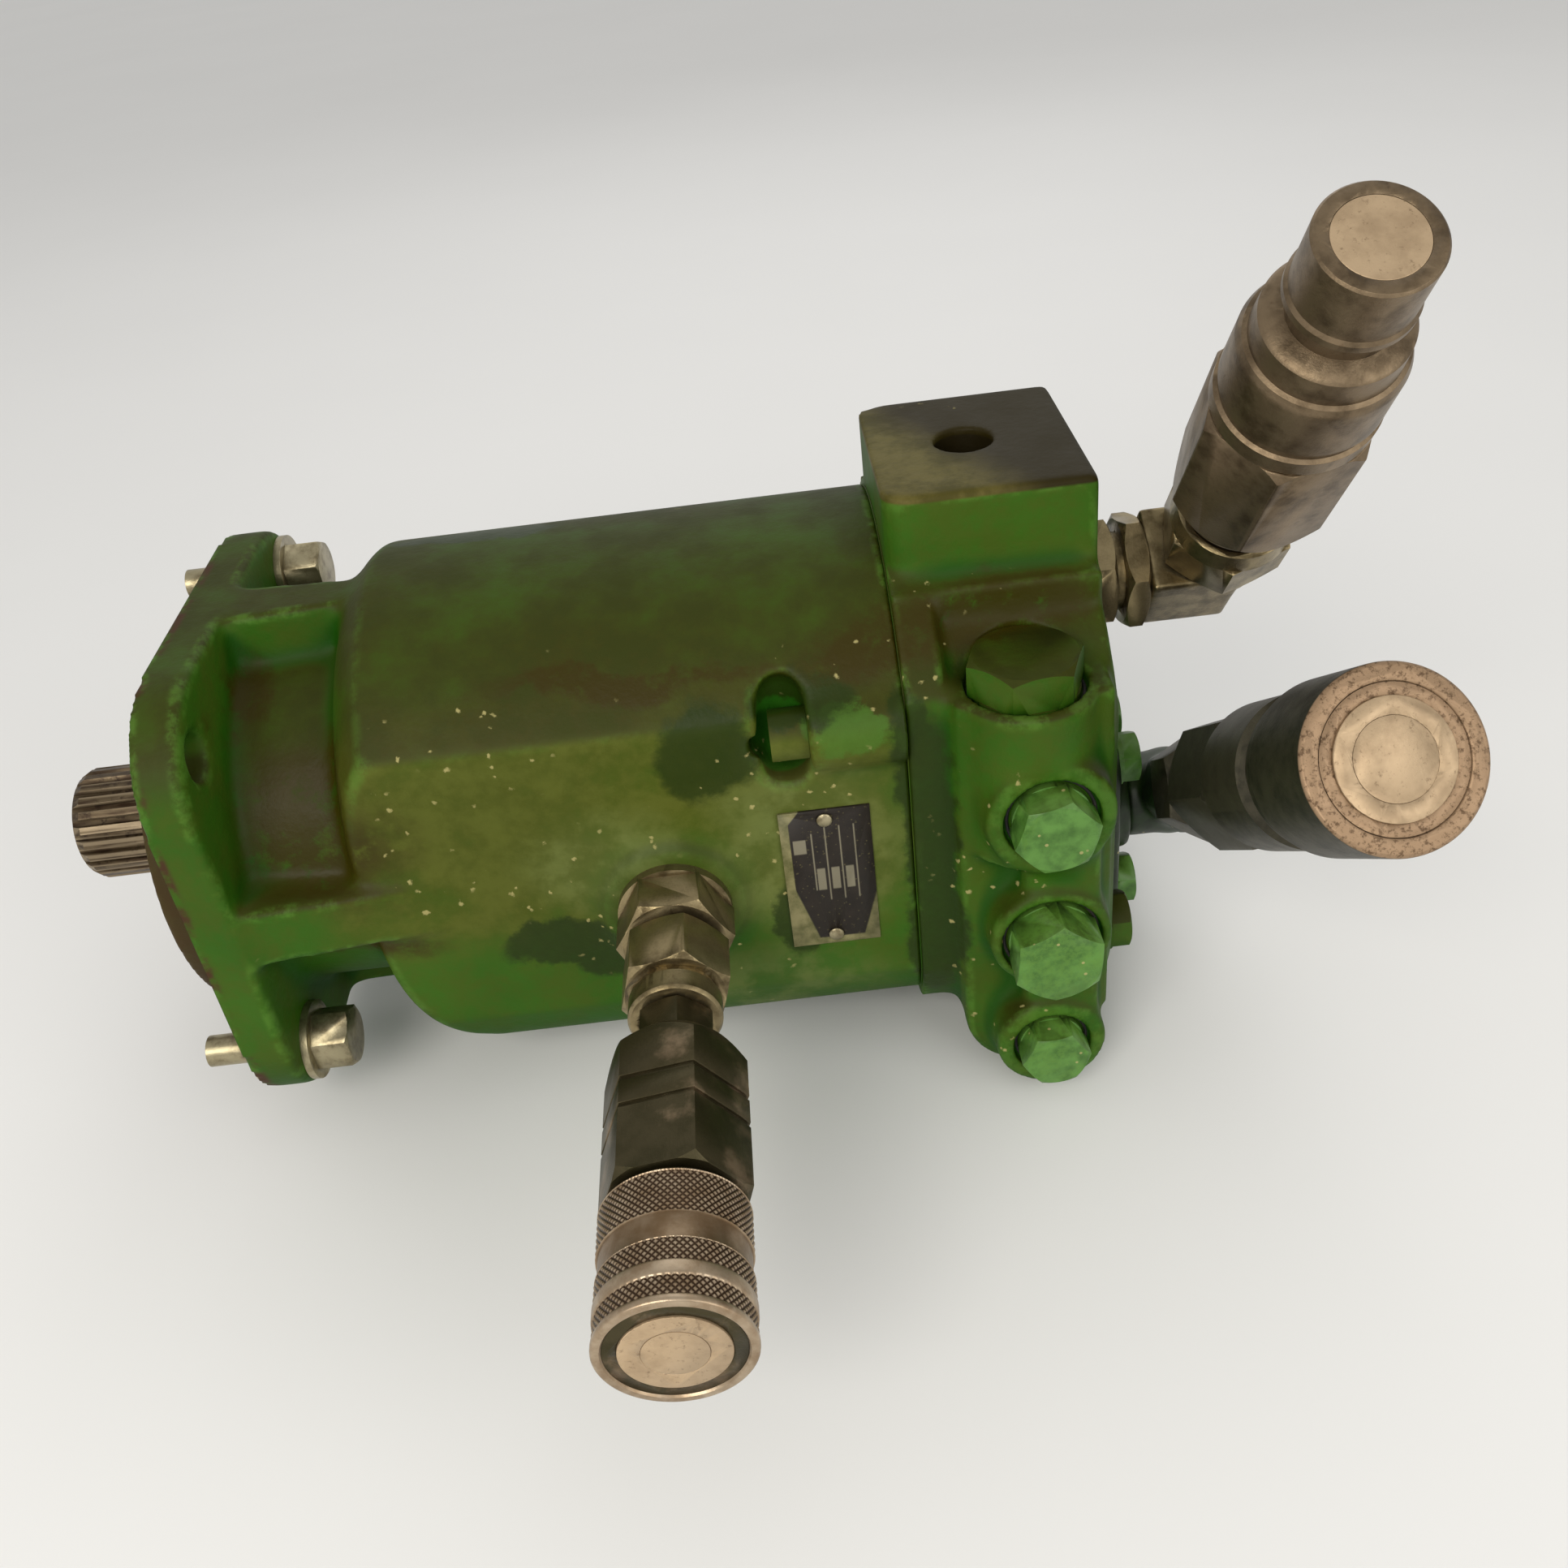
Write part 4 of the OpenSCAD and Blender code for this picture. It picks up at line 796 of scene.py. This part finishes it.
def knurled_sleeve():
    """A turned sleeve with three knurled bands, a recessed smooth band and two smooth rings."""
    low, high = box_mm("drain_sleeve")
    outer = (high.x - low.x) / 2
    inner = outer - SLEEVE_WALL
    centre = (low + high) / 2
    face = low.y
    length = high.y - low.y
    # Outline from the front face back: distance behind the face, drop below the outer radius, 1 if knurled
    profile = [(0.0, 0.75, 0), (0.15, 0.35, 0), (0.5, 0.06, 0), (0.9, 0, 0), (1.6, 0, 0), (1.9, 0.12, 0),
               (2.1, 0.2, 0), (2.3, 0.2, 1), (7.0, 0.2, 1), (7.2, 0.2, 0), (7.5, 0.05, 0), (7.8, 0, 0),
               (10.3, 0, 0), (10.7, 0.1, 0), (10.9, 0.2, 0), (11.1, 0.2, 1), (16.8, 0.2, 1),
               (17.0, 0.3, 0), (17.3, 0.75, 0), (17.6, 0.8, 0), (23.6, 0.8, 0), (23.9, 0.7, 0),
               (24.1, 0.25, 0), (24.3, 0.2, 1), (35.5, 0.2, 1), (35.8, 0.2, 0), (36.2, 0.5, 0),
               (length, 0.95, 0)]
    around = KNURL_COUNT * STEPS_EACH
    rows = []
    for (z0, drop0, knurl0), (z1, drop1, knurl1) in zip(profile, profile[1:]):
        parts = max(1, math.ceil((z1 - z0) / (KNURL_PITCH / STEPS_EACH))) if knurl0 and knurl1 else 1
        for part in range(parts):
            share = part / parts
            rows.append((z0 + (z1 - z0) * share, drop0 + (drop1 - drop0) * share, knurl0 and 1))
    rows.append(profile[-1])
    rows += [(length, outer - inner - 0.3, 0), (length - 0.3, outer - inner, 0), (0.5, outer - inner, 0),
             (0.0, outer - inner - 0.4, 0)]
    angle = np.arange(around) * 2 * math.pi / around
    points, groove, band = [], [], []
    for behind, drop, knurl in rows:
        u = KNURL_COUNT * angle / (2 * math.pi) + behind / KNURL_PITCH
        v = KNURL_COUNT * angle / (2 * math.pi) - behind / KNURL_PITCH
        rise = np.minimum(1.0, 2.5 * np.minimum(np.abs(u - np.round(u)), np.abs(v - np.round(v))))
        depth = knurl * (1 - rise)
        radius = outer - drop - KNURL_DEPTH * depth
        points.append(np.stack([centre.x + radius * np.cos(angle), np.full(around, face + behind),
                                centre.z + radius * np.sin(angle)], axis=1))
        groove.append(depth)
        band.append(np.full(around, 1.0 if 0.6 < drop < 0.9 and behind > 5 else 0.0))
    points = np.concatenate(points) * MM
    faces = []
    for row in range(len(rows)):
        here, there = row * around, (row + 1) % len(rows) * around
        for step in range(around):
            after = (step + 1) % around
            faces.append((here + step, here + after, there + after, there + step))
    mesh = bpy.data.meshes.new("drain_sleeve_knurled")
    mesh.from_pydata(points.tolist(), [], faces)
    mesh.attributes.new("groove", "FLOAT", "POINT").data.foreach_set("value", np.concatenate(groove))
    mesh.attributes.new("band", "FLOAT", "POINT").data.foreach_set("value", np.concatenate(band))
    mesh.polygons.foreach_set("use_smooth", [True] * len(mesh.polygons))
    mesh.set_sharp_from_angle(angle=math.radians(35))
    mesh.update()
    return new_piece("drain_sleeve_knurled", mesh, "drain_sleeve")


knurled_sleeve()

# ---- floor and light ----


# Metres
FLOOR_SIDE = 120.0
# Offset from the motor's middle, size, power and colour
LAMPS = {
    "key": ((-0.5, -1.15, 0.85), 0.8, 13.0, (1.0, 0.96, 0.90)),
    "fill": ((0.95, -0.95, 0.55), 0.9, 6.0, (1.0, 0.98, 0.95)),
    "back": ((0.2, 1.1, 0.9), 1.0, 2.5, (1.0, 1.0, 1.0)),
}


def add_stage():
    """A pale floor under the motor, an even pale world and three soft lamps."""
    low, high = CAD_BOX
    middle = (Vector(low) + Vector(high)) / 2
    side = FLOOR_SIDE
    mesh = bpy.data.meshes.new("floor")
    outline = ((-0.5, -0.5), (0.5, -0.5), (0.5, 0.5), (-0.5, 0.5))
    corners = [(x * side, y * side, low[2] - 0.5 * MM) for x, y in outline]
    mesh.from_pydata(corners, [], [(0, 1, 2, 3)])
    floor = bpy.data.objects.new("floor", mesh)
    bpy.context.scene.collection.objects.link(floor)
    g = Graph("floor_paint")
    grain = g.noise(300, 3)
    mesh.materials.append(g.finish(g.mix(grain, (0.80, 0.80, 0.79, 1), (0.84, 0.84, 0.83, 1)), 0.7))

    world = bpy.data.worlds.new("studio")
    world.use_nodes = True
    world.node_tree.nodes["Background"].inputs[0].default_value = (1.0, 0.99, 0.97, 1)
    world.node_tree.nodes["Background"].inputs[1].default_value = 0.62
    bpy.context.scene.world = world

    for name, (offset, size, power, tint) in LAMPS.items():
        data = bpy.data.lights.new(name, "AREA")
        data.size = size
        data.energy = power
        data.color = tint
        lamp = bpy.data.objects.new(name, data)
        lamp.location = middle + Vector(offset)
        lamp.rotation_euler = (-Vector(offset)).to_track_quat("-Z", "Y").to_euler()
        bpy.context.scene.collection.objects.link(lamp)
    bpy.context.scene.view_settings.view_transform = "Standard"


add_stage()
